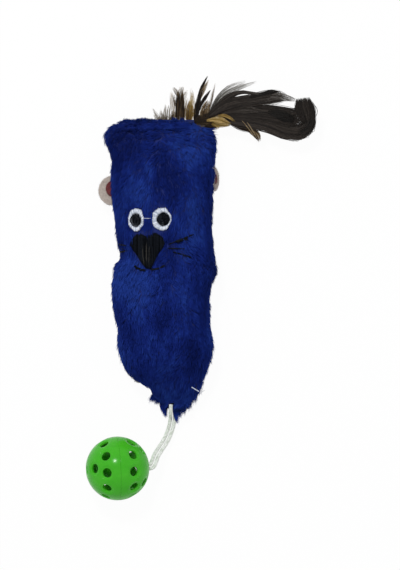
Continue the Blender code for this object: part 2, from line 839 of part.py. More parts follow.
def ear(side_name, side, y, fold):
    """A felt ear with its lining, hinged at the side seam; its root edge is round about the hinge."""
    reach = math.sqrt(ear_radius**2 - ear_inset**2)
    edges = []
    for place in stations(y - reach, y + reach):
        centre, half, _, _, _ = section_at(place)
        edges.append(centre * side + half)
    hinge_x = side * (max(edges) + fit_gap + ear_felt / 2)
    hinge_z = section_at(y)[2]
    pivot = pivot_at("ear_pivot_" + side_name, (hinge_x, y, hinge_z), (0, side * fold, 0))

    outline = ear_outline(ear_radius, ear_inset, 0.0)
    half_felt = ear_felt / 2
    points = []
    for level in (-half_felt, half_felt):
        points.extend((side * out, along, level) for out, along in outline)
    count = len(outline)
    faces = [tuple(range(count)), tuple(reversed(range(count, 2 * count)))]
    for step in range(count - 1):
        faces.append((step, step + 1, count + step + 1, count + step))
    # The root edge, rounded about the hinge line from the lower face to the upper one
    previous = (0, count - 1)
    for step in range(1, ear_edge_steps):
        angle = math.pi * step / ear_edge_steps
        out = -side * half_felt * math.sin(angle)
        level = -half_felt * math.cos(angle)
        points.append((out, outline[0][1], level))
        points.append((out, outline[-1][1], level))
        new = (len(points) - 2, len(points) - 1)
        faces.append((previous[0], previous[1], new[1], new[0]))
        previous = new
    faces.append((previous[0], previous[1], 2 * count - 1, count))
    inner = list(range(2 * count, len(points)))
    faces.append((0, *inner[0::2], count))
    faces.append((count - 1, *inner[1::2], 2 * count - 1))
    felt = solid("ear_" + side_name, points, faces, finish("ear_" + side_name, ear_grey, 0.9))
    felt.parent = pivot

    outline = ear_outline(lining_radius, ear_inset, lining_step)
    low = half_felt + fit_gap
    rings = []
    for level in (low, low + lining_felt):
        rings.append([(side * out, along, level) for out, along in outline])
    points, faces = loft(rings)
    lining = solid("ear_lining_" + side_name, points, faces, finish("ear_lining_" + side_name, ear_red, 0.85))
    lining.parent = pivot


ear("left", -1, ear_left_y, 0.0)
ear("right", 1, ear_right_y, ear_right_fold)

# Feather binding: the thread-bound quill ends inside the top seam
binding_y = top_y - quill_depth - fit_gap - binding_length / 2
binding_left = slot_left_x + fit_gap
binding_right = slot_right_x - fit_gap
binding_mesh = bpy.data.meshes.new("feather_binding")
binding_shape = bmesh.new()
bmesh.ops.create_cube(binding_shape, size=1.0)
bmesh.ops.scale(
    binding_shape,
    vec=(binding_right - binding_left, binding_length, 2 * binding_half_height),
    verts=binding_shape.verts,
)
bmesh.ops.bevel(
    binding_shape,
    geom=list(binding_shape.edges),
    offset=binding_bevel,
    segments=binding_bevel_steps,
    affect="EDGES",
)
binding_shape.to_mesh(binding_mesh)
binding_shape.free()
binding_mesh.materials.append(finish("binding_thread", feather_brown, 0.8))
binding = bpy.data.objects.new("feather_binding", binding_mesh)
binding.location = ((binding_left + binding_right) / 2, binding_y, top_seam_z)
bpy.context.scene.collection.objects.link(binding)


def feather(name, root_x, length, rows_share, look, quill=False):
    """One feather: a thin vane with a raised spine, lofted along a smooth line from the seam's mouth."""
    spine = [[share * length for share in row] for row in rows_share]
    if quill:
        spine.insert(0, [0, -quill_depth, 0, quill_radius, quill_radius])
    travelled = [0.0]
    for before, after in zip(spine, spine[1:]):
        travelled.append(travelled[-1] + math.dist(before[:3], after[:3]))
    read, places = smooth_rows([(way, *row) for way, row in zip(travelled, spine)])
    marks = []
    for before, after in zip(places, places[1:]):
        marks.extend((before, (before + after) / 2))
    marks.append(places[-1])
    rings = []
    for mark in marks:
        x, y, z, left, right = read(mark)
        ahead = Vector(read(mark + tiny)[:3]) - Vector(read(mark - tiny)[:3])
        run = ahead.normalized()
        side = Vector((-run.y, run.x, 0)).normalized()
        up = run.cross(side)
        if up.z < 0:
            up = -up
        centre = Vector((root_x + x, top_y + y, top_seam_z + z))
        left = max(left, quill_radius)
        right = max(right, quill_radius)
        ridge = up * vane_thickness / 2
        edge = up * vane_edge / 2
        rings.append(
            [
                centre + side * left + edge,
                centre + ridge,
                centre - side * right + edge,
                centre - side * right - edge,
                centre - ridge,
                centre + side * left - edge,
            ]
        )
    points, faces = loft(rings)
    return solid(name, points, faces, look)


# Long feathers, which lift together about the quill of the longest one
long_pivot = pivot_at("long_feather_pivot", (long_root_x, top_y, top_seam_z))
grey_vane = finish("vane_grey", feather_grey, 0.6)
pale_vane = finish("vane_pale", feather_pale, 0.7)
brown_vane = finish("vane_brown", feather_brown, 0.6)
yellow_vane = finish("vane_yellow", feather_yellow, 0.7)
longest = feather(
    "feather_long", long_root_x, long_feather_length, long_feather_rows_share, grey_vane, quill=True
)
carry(longest, long_pivot)
beside_longest = (
    ("feather_upper", upper_feather_length, upper_feather_rows_share, grey_vane),
    ("feather_wispy", wispy_feather_length, wispy_feather_rows_share, pale_vane),
    ("feather_fringe", fringe_length, fringe_rows_share, brown_vane),
    ("feather_tuft", tuft_length, tuft_rows_share, yellow_vane),
)
for name, length, rows, look in beside_longest:
    carry(feather(name, long_root_x, length, rows, look), long_pivot)

# Short plumes, which stand up from the seam and lift together just outside its mouth
plume_pivot = pivot_at("plume_pivot", (brown_root_x, top_y + plume_hinge_proud, top_seam_z))
plumes = (
    ("plume_tall", tall_root_x, tall_plume_length, tall_plume_rows_share, brown_vane),
    ("plume_brown", brown_root_x, brown_plume_length, brown_plume_rows_share, brown_vane),
    ("plume_yellow", yellow_root_x, yellow_plume_length, yellow_plume_rows_share, yellow_vane),
    ("plume_sparse", sparse_root_x, sparse_plume_length, sparse_plume_rows_share, pale_vane),
)
for name, root_x, length, rows, look in plumes:
    carry(feather(name, root_x, length, rows, look, quill=True), plume_pivot)

# Cord: its knot at the mouth of the tip, the sewn-in end behind it and the two strands
cord_look = finish("cord", cord_white, 0.8)
cord_pivot = pivot_at("cord_pivot", knot_centre)
carry(ball_shape("cord_knot", knot_centre, knot_radius, cord_look), cord_pivot)
cylinder("cord_anchor", anchor_start, anchor_end, anchor_radius, hole_sides, cord_look)
strand_pitch = strand_diameter + fit_gap


def strand(name, side, look):
    """One strand of the cord, to one side of the route."""
    path = smooth_path(cord_route, cord_steps)
    curve = bpy.data.curves.new(name, "CURVE")
    curve.dimensions = "3D"
    curve.bevel_depth = strand_diameter / 2
    curve.bevel_resolution = 2
    curve.use_fill_caps = True
    line = curve.splines.new("POLY")
    line.points.add(len(path) - 1)
    for step, place in enumerate(path):
        before = path[max(step - 1, 0)]
        after = path[min(step + 1, len(path) - 1)]
        run = after - before
        across = Vector((-run.y, run.x, 0)).normalized()
        line.points[step].co = (*(place + across * side * strand_pitch / 2), 1.0)
    curve.materials.append(look)
    made = bpy.data.objects.new(name, curve)
    bpy.context.scene.collection.objects.link(made)
    carry(made, cord_pivot)


strand("cord_strand_left", -1, cord_look)
strand("cord_strand_right", 1, cord_look)

# Ball: its own frame has +Z through the pole hole that the cord enters
pole = Vector(
    (
        math.cos(pole_tilt) * math.cos(pole_swing),
        math.cos(pole_tilt) * math.sin(pole_swing),
        math.sin(pole_tilt),
    )
)
ball_side = pole.cross(Vector((0, 1, 0))).normalized()
ball_other = pole.cross(ball_side)
ball_centre = Vector((ball_x, ball_y, ball_radius))
ball_frame = Matrix.Translation(ball_centre) @ Matrix((ball_side, ball_other, pole)).transposed().to_4x4()
inner_radius = ball_radius - ball_wall


def hole_cutter(name, side, ring_two_turn):
    """The drills for one half's two rings of holes, each a straight bore with a dished mouth."""
    step = 2 * math.pi / ring_one_holes
    places = [(ring_one_angle, ring_one_turn + step * hole) for hole in range(ring_one_holes)]
    wide_step = 2 * math.pi / ring_two_holes
    places += [(ring_two_angle, ring_two_turn + wide_step * hole) for hole in range(ring_two_holes)]
    levels = (
        (inner_radius - 2 * cut_overrun, ball_hole_radius),
        (ball_radius - dish_depth, ball_hole_radius),
        (ball_radius, dish_radius),
        (ball_radius + 2 * cut_overrun, dish_radius),
    )
    groups = []
    for tilt, turn in places:
        axis = Vector(
            (math.sin(tilt) * math.cos(turn), math.sin(tilt) * math.sin(turn), side * math.cos(tilt))
        )
        across = axis.cross(Vector((0, 0, 1))).normalized()
        other = axis.cross(across)
        rings = []
        for height, radius in levels:
            ring = []
            for corner in range(hole_sides):
                angle = 2 * math.pi * corner / hole_sides
                ring.append(
                    axis * height + radius * (across * math.cos(angle) + other * math.sin(angle))
                )
            rings.append(ring)
        groups.append(rings)
    points, faces = joined_lofts(groups)
    cutter = solid(name, points, faces, guide)
    cutter.matrix_world = ball_frame
    return cutter


def ball_half(name, side, has_spigot, ring_two_turn, look):
    """One half of the ball, with a lapped rim and its pole hole dished like the others."""
    pole_share = math.asin(dish_radius / ball_radius)
    bore_share = math.asin(ball_hole_radius / inner_radius)
    rim_share = math.asin(fit_gap / 2 / ball_radius)
    outer = []
    for step in range(ball_arc_steps + 1):
        angle = rim_share + (math.pi / 2 - pole_share - rim_share) * step / ball_arc_steps
        outer.append((ball_radius * math.cos(angle), ball_radius * math.sin(angle)))
    bore_height = ball_radius * math.cos(pole_share) - dish_depth
    mouth = [(ball_hole_radius, bore_height)]
    rim_radius = ball_radius - ball_wall / 2
    inner_start = rim_share if has_spigot else math.asin((lap_height + fit_gap) / inner_radius)
    inner = []
    for step in range(ball_arc_steps + 1):
        angle = math.pi / 2 - bore_share - (math.pi / 2 - bore_share - inner_start) * step / ball_arc_steps
        inner.append((inner_radius * math.cos(angle), inner_radius * math.sin(angle)))
    if has_spigot:
        lap = [
            (inner_radius, -lap_height),
            (rim_radius - fit_gap, -lap_height),
            (rim_radius - fit_gap, fit_gap / 2),
        ]
    else:
        lap = [(rim_radius, lap_height + fit_gap), (rim_radius, fit_gap / 2)]
    profile = [(radius, side * height) for radius, height in outer + mouth + inner + lap]
    points, faces = revolve(profile, ball_segments)
    half = solid(name, points, faces, look)
    half.matrix_world = ball_frame
    cut(half, hole_cutter(name + "_holes", side, ring_two_turn))
    return half


ball_look = finish("ball_plastic", ball_green, 0.25)
ball_half("ball_half_right", 1, False, ring_two_turn_right, ball_look)
ball_half("ball_half_left", -1, True, ring_two_turn_left, ball_look)
inner_edge = math.sqrt(inner_radius**2 - ball_hole_radius**2)
knot_sink = math.sqrt(ball_knot_radius**2 - ball_hole_radius**2)
ball_knot_centre = ball_centre + pole * (inner_edge - knot_sink - fit_gap)
carry(ball_shape("ball_knot", ball_knot_centre, ball_knot_radius, cord_look), cord_pivot)

nylon = finish("nylon", nylon_white, 0.35)
bar_stand = fit_gap + fastener_bar_radius


def fastener_bar(name, side, length, turn):
    """One of the fastener's two bars, laid on a cover over the filament, and its middle."""
    normal = cover_normal(fastener_x, fastener_y, side)
    level = cover_level(fastener_x, fastener_y, side) + bar_stand / normal.z
    middle = Vector((fastener_x, fastener_y, level))
    run = Vector((math.cos(turn), math.sin(turn), 0))
    run.z = -run.dot(normal) / normal.z
    reach = run.normalized() * length / 2
    made = cylinder(name, middle - reach, middle + reach, fastener_bar_radius, fastener_sides, nylon)
    return made, middle


# Tag fastener: a bar on the face, a filament through both covers and a shorter bar behind
fastener, bar_middle = fastener_bar("tag_fastener", 1, fastener_bar_length, fastener_turn)
back_bar, back_middle = fastener_bar("fastener_back_bar", -1, fastener_back_length, fastener_back_turn)
filament = cylinder(
    "fastener_filament", back_middle, bar_middle, fastener_filament_radius, fastener_sides, nylon
)
fuse(fastener, filament)
fuse(fastener, back_bar)
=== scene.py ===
"""Looks of the stuffed plush kicker toy: pile, feathers, stitched face, felt ears, braided cord and ball.

Lengths are in metres in the frame of the model: +Z up through the face, +Y towards the feathers. Places that
were read off the photograph are in its pixels, and at() turns them into metres.
"""

import math

import bmesh
import bpy
import numpy as np
from mathutils import Matrix, Vector, kdtree
from mathutils.bvhtree import BVHTree


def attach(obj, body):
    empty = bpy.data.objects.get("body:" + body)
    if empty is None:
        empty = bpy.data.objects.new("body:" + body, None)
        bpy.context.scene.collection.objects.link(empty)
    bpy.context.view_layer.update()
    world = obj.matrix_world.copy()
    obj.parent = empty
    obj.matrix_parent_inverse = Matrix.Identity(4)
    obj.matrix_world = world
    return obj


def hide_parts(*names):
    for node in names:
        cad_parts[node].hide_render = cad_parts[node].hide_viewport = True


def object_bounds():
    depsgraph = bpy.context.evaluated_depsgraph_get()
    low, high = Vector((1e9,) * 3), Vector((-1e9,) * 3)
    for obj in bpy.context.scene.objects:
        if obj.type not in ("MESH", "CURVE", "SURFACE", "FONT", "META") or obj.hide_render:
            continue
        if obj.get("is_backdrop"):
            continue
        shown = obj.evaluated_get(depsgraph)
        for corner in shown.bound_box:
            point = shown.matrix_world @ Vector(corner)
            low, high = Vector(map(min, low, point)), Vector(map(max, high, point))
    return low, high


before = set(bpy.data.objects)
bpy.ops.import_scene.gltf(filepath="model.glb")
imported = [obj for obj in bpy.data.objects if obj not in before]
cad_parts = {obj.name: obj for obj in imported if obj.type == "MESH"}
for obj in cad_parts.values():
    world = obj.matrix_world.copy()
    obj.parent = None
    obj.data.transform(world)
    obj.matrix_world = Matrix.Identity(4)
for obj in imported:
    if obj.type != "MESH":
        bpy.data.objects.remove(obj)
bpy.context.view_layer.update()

MM = 0.001
UP = np.array([0.0, 0.0, 1.0])

# The photograph's scale, and the pixel that lies over the model's origin
pixel_size = 0.66 * MM
origin_pixel = (162.0, 270.0)
picture_pixels = (400, 570)

# Camera and light
camera_distance = 2.0
camera_near = 0.05
camera_far = 20.0
sensor_width = 36.0
focus_level = 19.0 * MM
key_distance = 1.2
key_size = 0.16
key_direction = (-0.135, 0.51, 0.85)
key_share = 0.42
world_share = 0.62
floor_half_width = 4.0
floor_glow = 0.96

# Materials: roughness of the noise and depth of the bumps
noise_roughness = 0.55
bump_depth = 0.12 * MM

# A fibre's cell of the texture map, in shares of it: margin, start and run of the fibre, and its caps
cell_margin = 0.06
cell_foot = 0.14
cell_run = 0.84
cap_half_width = 0.45
cap_height = 0.06

# Plush skin
skin_rows = 96
skin_columns = 40
skin_drop = 0.6 * MM
skin_thickness = 1.3 * MM
tip_y = -88.5 * MM
top_y = 98.0 * MM
end_round = 1.2 * MM
seam_clearance = 0.3 * MM
slope_step = 0.7 * MM
far = 90.0 * MM
cap_shares = (0.97, 0.86, 0.6, 0.3, 0.0)
cap_outs = (0.45, 0.8, 0.95, 1.0, 1.0)
cap_draw = 0.04
slot_left = -5.0 * MM
slot_right = 29.0 * MM
slot_fade = 2.0 * MM
slot_open = 1.9 * MM
knot_open = 3.0 * MM
dent_depth = 0.45 * MM
dent_size = 21.0 * MM
dent_seed = 3
# Stuffing: piece, node, voxel, depth and size of its lumps, seed, material and slot
soft_masses = (
    ("fibre_head", "head_filling", 1.6 * MM, 0.9 * MM, 7 * MM, 5, "polyester_fibre", "filling"),
    ("fibre_body", "body_filling", 1.6 * MM, 0.9 * MM, 7 * MM, 6, "polyester_fibre", "filling"),
    ("herb_pouch", "catnip_pouch", 0.9 * MM, 0.7 * MM, 6 * MM, 7, "pouch_cotton", "pouch"),
)
lump_share = 0.45
# The seam's height above the floor at places along the body
seam_line = MM * np.array((
    (-88.5, 9.5), (-83.2, 11.4), (-75.9, 13.87), (-70.0, 15.6), (-64.7, 16.9), (-59.4, 18.05), (-49.5, 18.8),
    (-37.0, 19.0), (66.0, 19.0), (74.6, 18.62), (83.6, 17.1), (88.1, 15.96), (92.1, 14.82), (95.3, 13.87),
    (98.0, 13.11),
))

# Pile: fibres for each quarter of the body, which rise from the skin, bend over, and clump
pile_count = 19000
pile_length = 5.4 * MM
pile_width = 0.23 * MM
pile_widths = (0.7, 1.25)
pile_taper = (0.9, 1.0, 0.4)
pile_bury = 0.3 * MM
pile_softness = 0.65
pile_rise = math.radians(37)
pile_rise_ends = math.radians(68)
pile_bend = 0.42
rise_noise = 0.13
end_density = 2.4
end_rows = 3
end_lift = 0.6
tip_longer = 0.25
top_shorter = 0.32
sway_size = 16 * MM
sway_turn = 0.5
sway_noise = 0.22
length_size = 9 * MM
length_change = 0.14
length_noise = 0.12
foot_share = 0.55
head_share = 0.5
clump_share = 0.03
clump_pull = 0.62
least_pull = 0.3
middle_pull = 0.35
floor_clearance = 0.25 * MM
# Painted light and shade: lighter and darker areas of the pile, with centre and radii in mm, and strength
painted_light_shade_spots = (
    ((-24, 84, 25), (24, 26, 40), -0.38),
    ((-2, 76, 35), (10, 16, 30), -0.30),
    ((6, 58, 40), (13, 22, 30), -0.46),
    ((-2, -34, 40), (9, 12, 30), -0.30),
    ((24, 80, 30), (18, 30, 40), 0.30),
    ((-16, 58, 38), (14, 20, 30), 0.26),
    ((20, 20, 35), (16, 24, 40), 0.24),
    ((-18, -10, 35), (20, 26, 40), 0.42),
    ((14, -20, 38), (14, 20, 40), 0.16),
    ((-12, -42, 38), (18, 14, 40), -0.16),
    # The strongest dark spot, at the right edge, is a painted shadow.
    ((36, -1, 20), (7, 9, 16), -0.70),
    ((8, -62, 30), (30, 20, 40), -0.10),
)
# Long locks at the narrow end: root pixel, tip pixel, heights in metres, number, spreads at both ends in mm
tip_locks = (
    ((166.0, 397.0), (166.2, 419.0), (14 * MM, 8 * MM), 420, (1.3, 0.6)),
    ((164.4, 397.0), (165.0, 414.0), (14 * MM, 8 * MM), 260, (1.0, 0.6)),
    ((178.0, 398.0), (177.8, 425.4), (14 * MM, 9 * MM), 360, (1.1, 0.5)),
    ((181.0, 398.0), (180.2, 419.4), (13 * MM, 8 * MM), 420, (1.9, 0.9)),
    ((162.0, 394.6), (150.2, 402.0), (14 * MM, 9 * MM), 560, (1.6, 1.2)),
    ((162.0, 396.0), (156.2, 405.0), (14 * MM, 9 * MM), 420, (1.4, 0.8)),
    ((185.5, 396.0), (183.6, 416.0), (12 * MM, 8 * MM), 420, (2.2, 1.1)),
    ((191.0, 390.0), (189.8, 410.6), (12 * MM, 8 * MM), 420, (2.0, 1.1)),
    ((196.6, 386.0), (194.6, 404.0), (12 * MM, 8 * MM), 380, (1.7, 1.1)),
    ((199.2, 382.0), (199.0, 396.0), (12 * MM, 8 * MM), 260, (1.2, 0.8)),
)
hair_stations = 6
hair_spread = (1.0, 0.35, 0.3)
hair_gather = 0.6
hair_noise = 0.7
hair_shorter = 0.35
hair_bow = 0.12
bow_noise = 0.05
hair_arch = 0.4 * MM
hair_width = 0.5 * pile_width
hair_widths = (0.6, 1.2)
hair_end = 0.3
hair_tone = 0.1
hair_tones = 0.4
hair_seed = 35
# Outline in pixels that the pile keeps inside of at the narrow end
tip_top = 383.0
tip_outline = (
    (134.0, 379.0), (140.0, 383.6), (146.0, 387.4), (151.0, 391.0), (154.6, 395.4), (154.4, 398.8),
    (157.4, 403.4), (161.4, 404.6), (163.4, 408.0), (164.0, 413.0), (166.5, 419.0), (176.5, 428.0),
    (180.0, 420.0), (185.5, 414.0), (191.5, 408.0), (196.8, 400.0), (200.6, 392.0), (206.0, 381.0),
)
# Chances that a fibre over the stitches, or over a line of them, goes: at its root, middle and end
stitch_bare_chance = (1.0, 1.0, 0.94)
line_bare_chance = (0.9, 0.45, 0.28)
# Lines in pixels that stay bare, with half widths: where the front strand leaves the pile, and the bar
exit_bare = (((170.4, 404.6), (170.2, 420.0)), 1.45 * MM)
bar_bare = (((190.2, 385.6), (200.0, 392.6)), 0.9 * MM)
bar_shift = (1.6 * MM, 0.0 * MM, 1.3 * MM)
bar_thinner = 0.22 * MM
bar_voxel = 0.11 * MM
bar_smoothing = 4

# Stitched face, in pixels of the photograph. Each eye has its side, its middle and size, its pupil's middle
# and size, and the seed of its random draws
eyes = (
    ("left", (137.4, 220.2), (15.0, 22.6), (137.3, 220.7), (10.7, 14.6), 3),
    ("right", (162.1, 219.8), (19.4, 22.4), (163.8, 219.9), (12.7, 14.6), 8),
)
nose_outline = (
    (137.3, 234.7), (133.4, 239.0), (132.0, 244.9), (133.8, 249.6), (136.8, 253.6), (141.9, 262.8),
    (146.5, 268.4), (151.6, 269.4), (155.7, 261.2), (158.8, 253.6), (163.4, 248.8), (165.2, 243.6),
    (163.6, 238.4), (159.8, 235.2), (155.7, 233.2), (151.4, 235.2), (146.5, 236.7), (141.5, 234.4),
)
nose_ribs = ((144.3, 243.0), (147.6, 240.0), (150.8, 243.0))
rib_foot = 266.0
rib_gather = 0.35
rib_width = 0.8 * MM
rib_height = 0.35 * MM
rib_sink = 0.2 * MM
rib_strand_reach = 0.9
rib_thread_share = 0.8
nose_inset = 0.15 * MM
nose_ragged = 0.35 * MM
nose_ragged_top = 0.3 * MM
nose_lean = 0.06 * MM
nose_seed = 17
cut_shift = 0.35
# Lines of stitches: node, pixels, half width and height above the cover
stitch_lines = (
    ("mouth_left", ((135.3, 265.8), (139.8, 269.8), (146.5, 270.9)), 0.50 * MM, 1.4 * MM),
    ("mouth_right", ((151.6, 270.2), (158.5, 269.4), (165.9, 265.8)), 0.46 * MM, 1.4 * MM),
    ("whisker_left_upper", ((120.9, 243.8), (124.4, 244.6), (128.6, 245.6)), 0.42 * MM, 1.7 * MM),
    ("whisker_left_middle", ((122.8, 248.4), (125.6, 248.8), (128.2, 249.4)), 0.30 * MM, 1.2 * MM),
    ("whisker_left_lower", ((121.4, 252.2), (125.6, 251.4), (130.2, 250.6)), 0.40 * MM, 1.7 * MM),
    ("whisker_right_upper", ((169.0, 244.8), (181.4, 239.6), (193.4, 234.6)), 0.30 * MM, 1.15 * MM),
    ("whisker_right_middle", ((168.6, 248.6), (176.0, 248.9), (184.8, 248.9)), 0.34 * MM, 0.85 * MM),
    ("whisker_right_lower", ((173.2, 252.2), (182.6, 255.0), (193.2, 258.4)), 0.34 * MM, 0.85 * MM),
)
# The knotted part of one whisker: pixels along it, half width and height
whisker_knot = (((176.0, 242.2), (181.6, 240.2), (187.0, 238.6)), 0.75 * MM, 1.8 * MM)
jump_thread = ((143.6, 218.9), (152.0, 219.1))
jump_radius = 0.16 * MM
jump_heights = (0.9 * MM, 1.5 * MM)
stitch_bare = 0.35 * MM
line_bare = 0.5 * MM
stitch_low = 0.45 * MM
stitch_top = 1.45 * MM
short_stitch = 2.6 * MM
stitch_noise = 0.05 * MM
stitch_line_points = 40
stitch_overlap = 2
stitch_strand_reach = 0.75
stitch_thread_share = 0.62
stitch_seed = 70
whisker_knot_seed = 79
backing_sink = 0.5 * MM
backing_top = 0.72 * MM
backing_rings = (1.0, 0.66, 0.33)
pupil_proud = 0.35 * MM
pupil_inset = 0.2 * MM
pupil_overlap = 0.6
pupil_least = 0.03
pupil_ragged = 0.06
eye_lumps = 0.035
eye_uneven = 0.2
eye_ragged = 0.02
eye_thread_share = 1.15
eye_threads = 78
oval_steps = 40
thread_radius = 0.24 * MM
thread_pitch = 0.50 * MM
thread_overlap = 0.35 * MM
longest_thread = 14.0 * MM
thread_ends = 0.55
thread_stations = 7
thread_slots = {"white_thread": "stitch_white", "black_thread": "stitch_black", "rib_thread_painted_sheen": "stitch_black"}

# Ears: side, place of the hinge, the ear's and its lining's share of their solids' sizes, the lining's shift
ear_hinges = (
    ("left", (-33.372 * MM, 52.4 * MM, 19.028 * MM), 0.97, 0.80, (0.9 * MM, 1.3 * MM, 0)),
    ("right", (34.475 * MM, 60.0 * MM, 19.008 * MM), 0.80, 0.50, (0, 0, 0)),
)
# Felt: voxel, seed, number and length of the fuzz's fibres, and slot
ear_felt = (0.3 * MM, 81, 2200, 0.9 * MM, "felt_grey")
lining_felt = (0.24 * MM, 83, 1100, 0.7 * MM, "felt_red")
felt_uneven = 0.05 * MM
felt_lump_size = 1.6 * MM
felt_drawn_in = 0.04 * MM
fuzz_width = 0.045 * MM
fuzz_bury = 0.05 * MM
fuzz_taper = (1.0, 0.9, 0.4)
fuzz_lengths = (0.4, 1.0)
fuzz_spread = 0.9
fuzz_upright = 0.4
fuzz_curl = 0.8

# Two strands of cord, side by side, from the tip to the ball, along the given route
strand_diameter = 2.6 * MM
strand_pitch = 2.9 * MM
cord_exit = (7.0 * MM, -90.1 * MM, 9.5 * MM)
cord_route = (
    (7.1 * MM, -93.3 * MM, 9.5 * MM),
    (6.9 * MM, -98.0 * MM, 8.3 * MM),
    (5.5 * MM, -105.5 * MM, 6.2 * MM),
    (2.3 * MM, -113.2 * MM, 6.4 * MM),
    (-1.5 * MM, -119.0 * MM, 9.6 * MM),
    (-3.9 * MM, -122.9 * MM, 13.2 * MM),
    (-5.3 * MM, -126.6 * MM, 16.1 * MM),
    (-6.6 * MM, -129.2 * MM, 17.65 * MM),
    (-9.4 * MM, -129.9 * MM, 18.23 * MM),
)
# The front strand's first places, over the knot, and the point of the route that follows them
front_start = np.array(((5.9, -88.9, 18.2), (5.75, -91.6, 18.3), (5.6, -94.8, 15.4))) * MM
front_join = 18
route_points = 170
yarns_each_way = 5
yarn_width = 0.36 * MM
braid_turn = 7.0 * MM
# Shares of a yarn's width: its depth in the braid, how far it weaves, the core's depth, and its three plies
yarn_depth = 0.62
yarn_weave = 0.2
core_depth = 0.75
ply_pitch = 0.58
ply_drop = 0.14
ply_half_width = 0.42
yarn_tones = 0.3
ply_tones = 0.2
core_tone = -0.4
cord_seed = 31

# Knots: piece, centre, radius, the cord's radius in it, body and node
ball_knot_centre = (-14.138 * MM, -130.117 * MM, 18.892 * MM)
knots = (
    ("tip_knot", cord_exit, 2.1 * MM, 0.75 * MM, "cord_knot", "cord_knot"),
    ("ball_knot_tied", ball_knot_centre, 4.2 * MM, 1.35 * MM, "cord", "ball_knot"),
)
knot_points = 150
knot_yarn_share = 0.8
knot_depth = 1.25

# Ball: the two halves, their pole and their holes
ball_centre = Vector((-29.3 * MM, -130.8 * MM, 21.0 * MM))
ball_pole = Vector((0.98949, 0.044557, -0.137562))
ball_radius = 21.0 * MM
ball_wall = 2.0 * MM
inner_radius = ball_radius - ball_wall
lap_height = 1.8 * MM
lap_gap = 0.07 * MM
hole_radius = 3.1 * MM
dish_radius = 5.0 * MM
rim_round = 0.12 * MM
rim_step = 0.012
drill_sides = 40
ball_segments = 144
ball_arc_steps = 34
ball_edge = math.radians(38)
sphere_match = 0.004 * MM
# Each ring of holes: angle from the pole, number of holes and the turn of its first one
ring_one = (1.11, 10, 0.709)
ring_two = {"right": (0.635, 3, 3.02), "left": (0.635, 3, -0.12)}
# A hole's drill from the inside out: depth under the ball's outside, and how much wider than the hole it is
drill_profile = (
    (ball_wall + 1.0 * MM, 0), (0.98 * MM, 0), (0.84 * MM, 0.10 * MM), (0.76 * MM, 0.35 * MM),
    (0.73 * MM, 0.80 * MM), (0.70 * MM, 1.30 * MM), (0.62 * MM, 1.60 * MM), (0.48 * MM, 1.75 * MM),
    (-1.0 * MM, 1.95 * MM),
)
# The pole hole's dish: radius and depth under the dish's edge
pole_dish = (
    (dish_radius - 0.15 * MM, 0.1 * MM), (hole_radius + 0.25 * MM, 0.16 * MM), (hole_radius, 0.4 * MM),
)

# Feathers: locks of barbs. Each has the number of barbs, their half width in mm, their tone from -0.5, dark,
# to 0.5, light, and rows along its middle: pixel x and y, height in mm and half width in pixels
long_locks = (
    (620, 0.22, -0.08, (
        (200.8, 121.8, 13.1, 0.6), (208, 119.6, 14.4, 1.6), (222, 118, 16.2, 3.6), (238, 118.6, 18, 6),
        (252, 119.8, 19, 6.6), (268, 123.4, 19.4, 6.9), (283.5, 129.4, 19, 7.4), (296.5, 132.2, 18.7, 7.6),
        (304.5, 130, 18.8, 7.6), (309, 124.2, 19.2, 7), (309.4, 116, 19.6, 6.2), (307, 108.4, 20, 5.6),
        (303.4, 101.4, 20.4, 5),
    )),
    (520, 0.22, -0.12, (
        (206, 119.5, 14.2, 1), (216, 114.6, 15.6, 3.2), (229, 112, 17.2, 5.4), (244, 111.4, 18.8, 6.6),
        (258, 112.2, 19.7, 6.4), (271, 113.8, 20.1, 6.8), (283, 115.6, 20.2, 7.8), (292, 117.2, 20.4, 8.4),
        (299, 114.4, 20.6, 7.6), (301.6, 107.6, 20.8, 6.2), (301, 101.6, 21, 5.2),
    )),
    # A painted shadow: this very dark lock lies in the hollow of the curl.
    (200, 0.2, -0.46, (
        (268, 112.4, 20.9, 1.4), (277, 114.4, 21.3, 3.4), (286, 117.4, 21.5, 4.4), (294.6, 121, 21.3, 2.6),
    )),
    (560, 0.2, -0.22, (
        (308.4, 122, 20.4, 6.2), (306.2, 112, 20.9, 7.4), (303.8, 104.6, 21.2, 7.4),
        (302.8, 97.6, 21.2, 6.6),
    )),
    (70, 0.18, 0.1, (
        (222, 113, 17.2, 1.6), (236, 110.4, 18.8, 2.4), (250, 110.2, 20.2, 2.6), (262, 112.4, 20.6, 1.6),
    )),
    (180, 0.2, -0.32, (
        (299, 133, 19.2, 3), (308, 128, 19.8, 4.4), (311.4, 119, 20.2, 3.4), (309.8, 109, 20.6, 3),
        (306, 100.4, 21, 3.4),
    )),
)
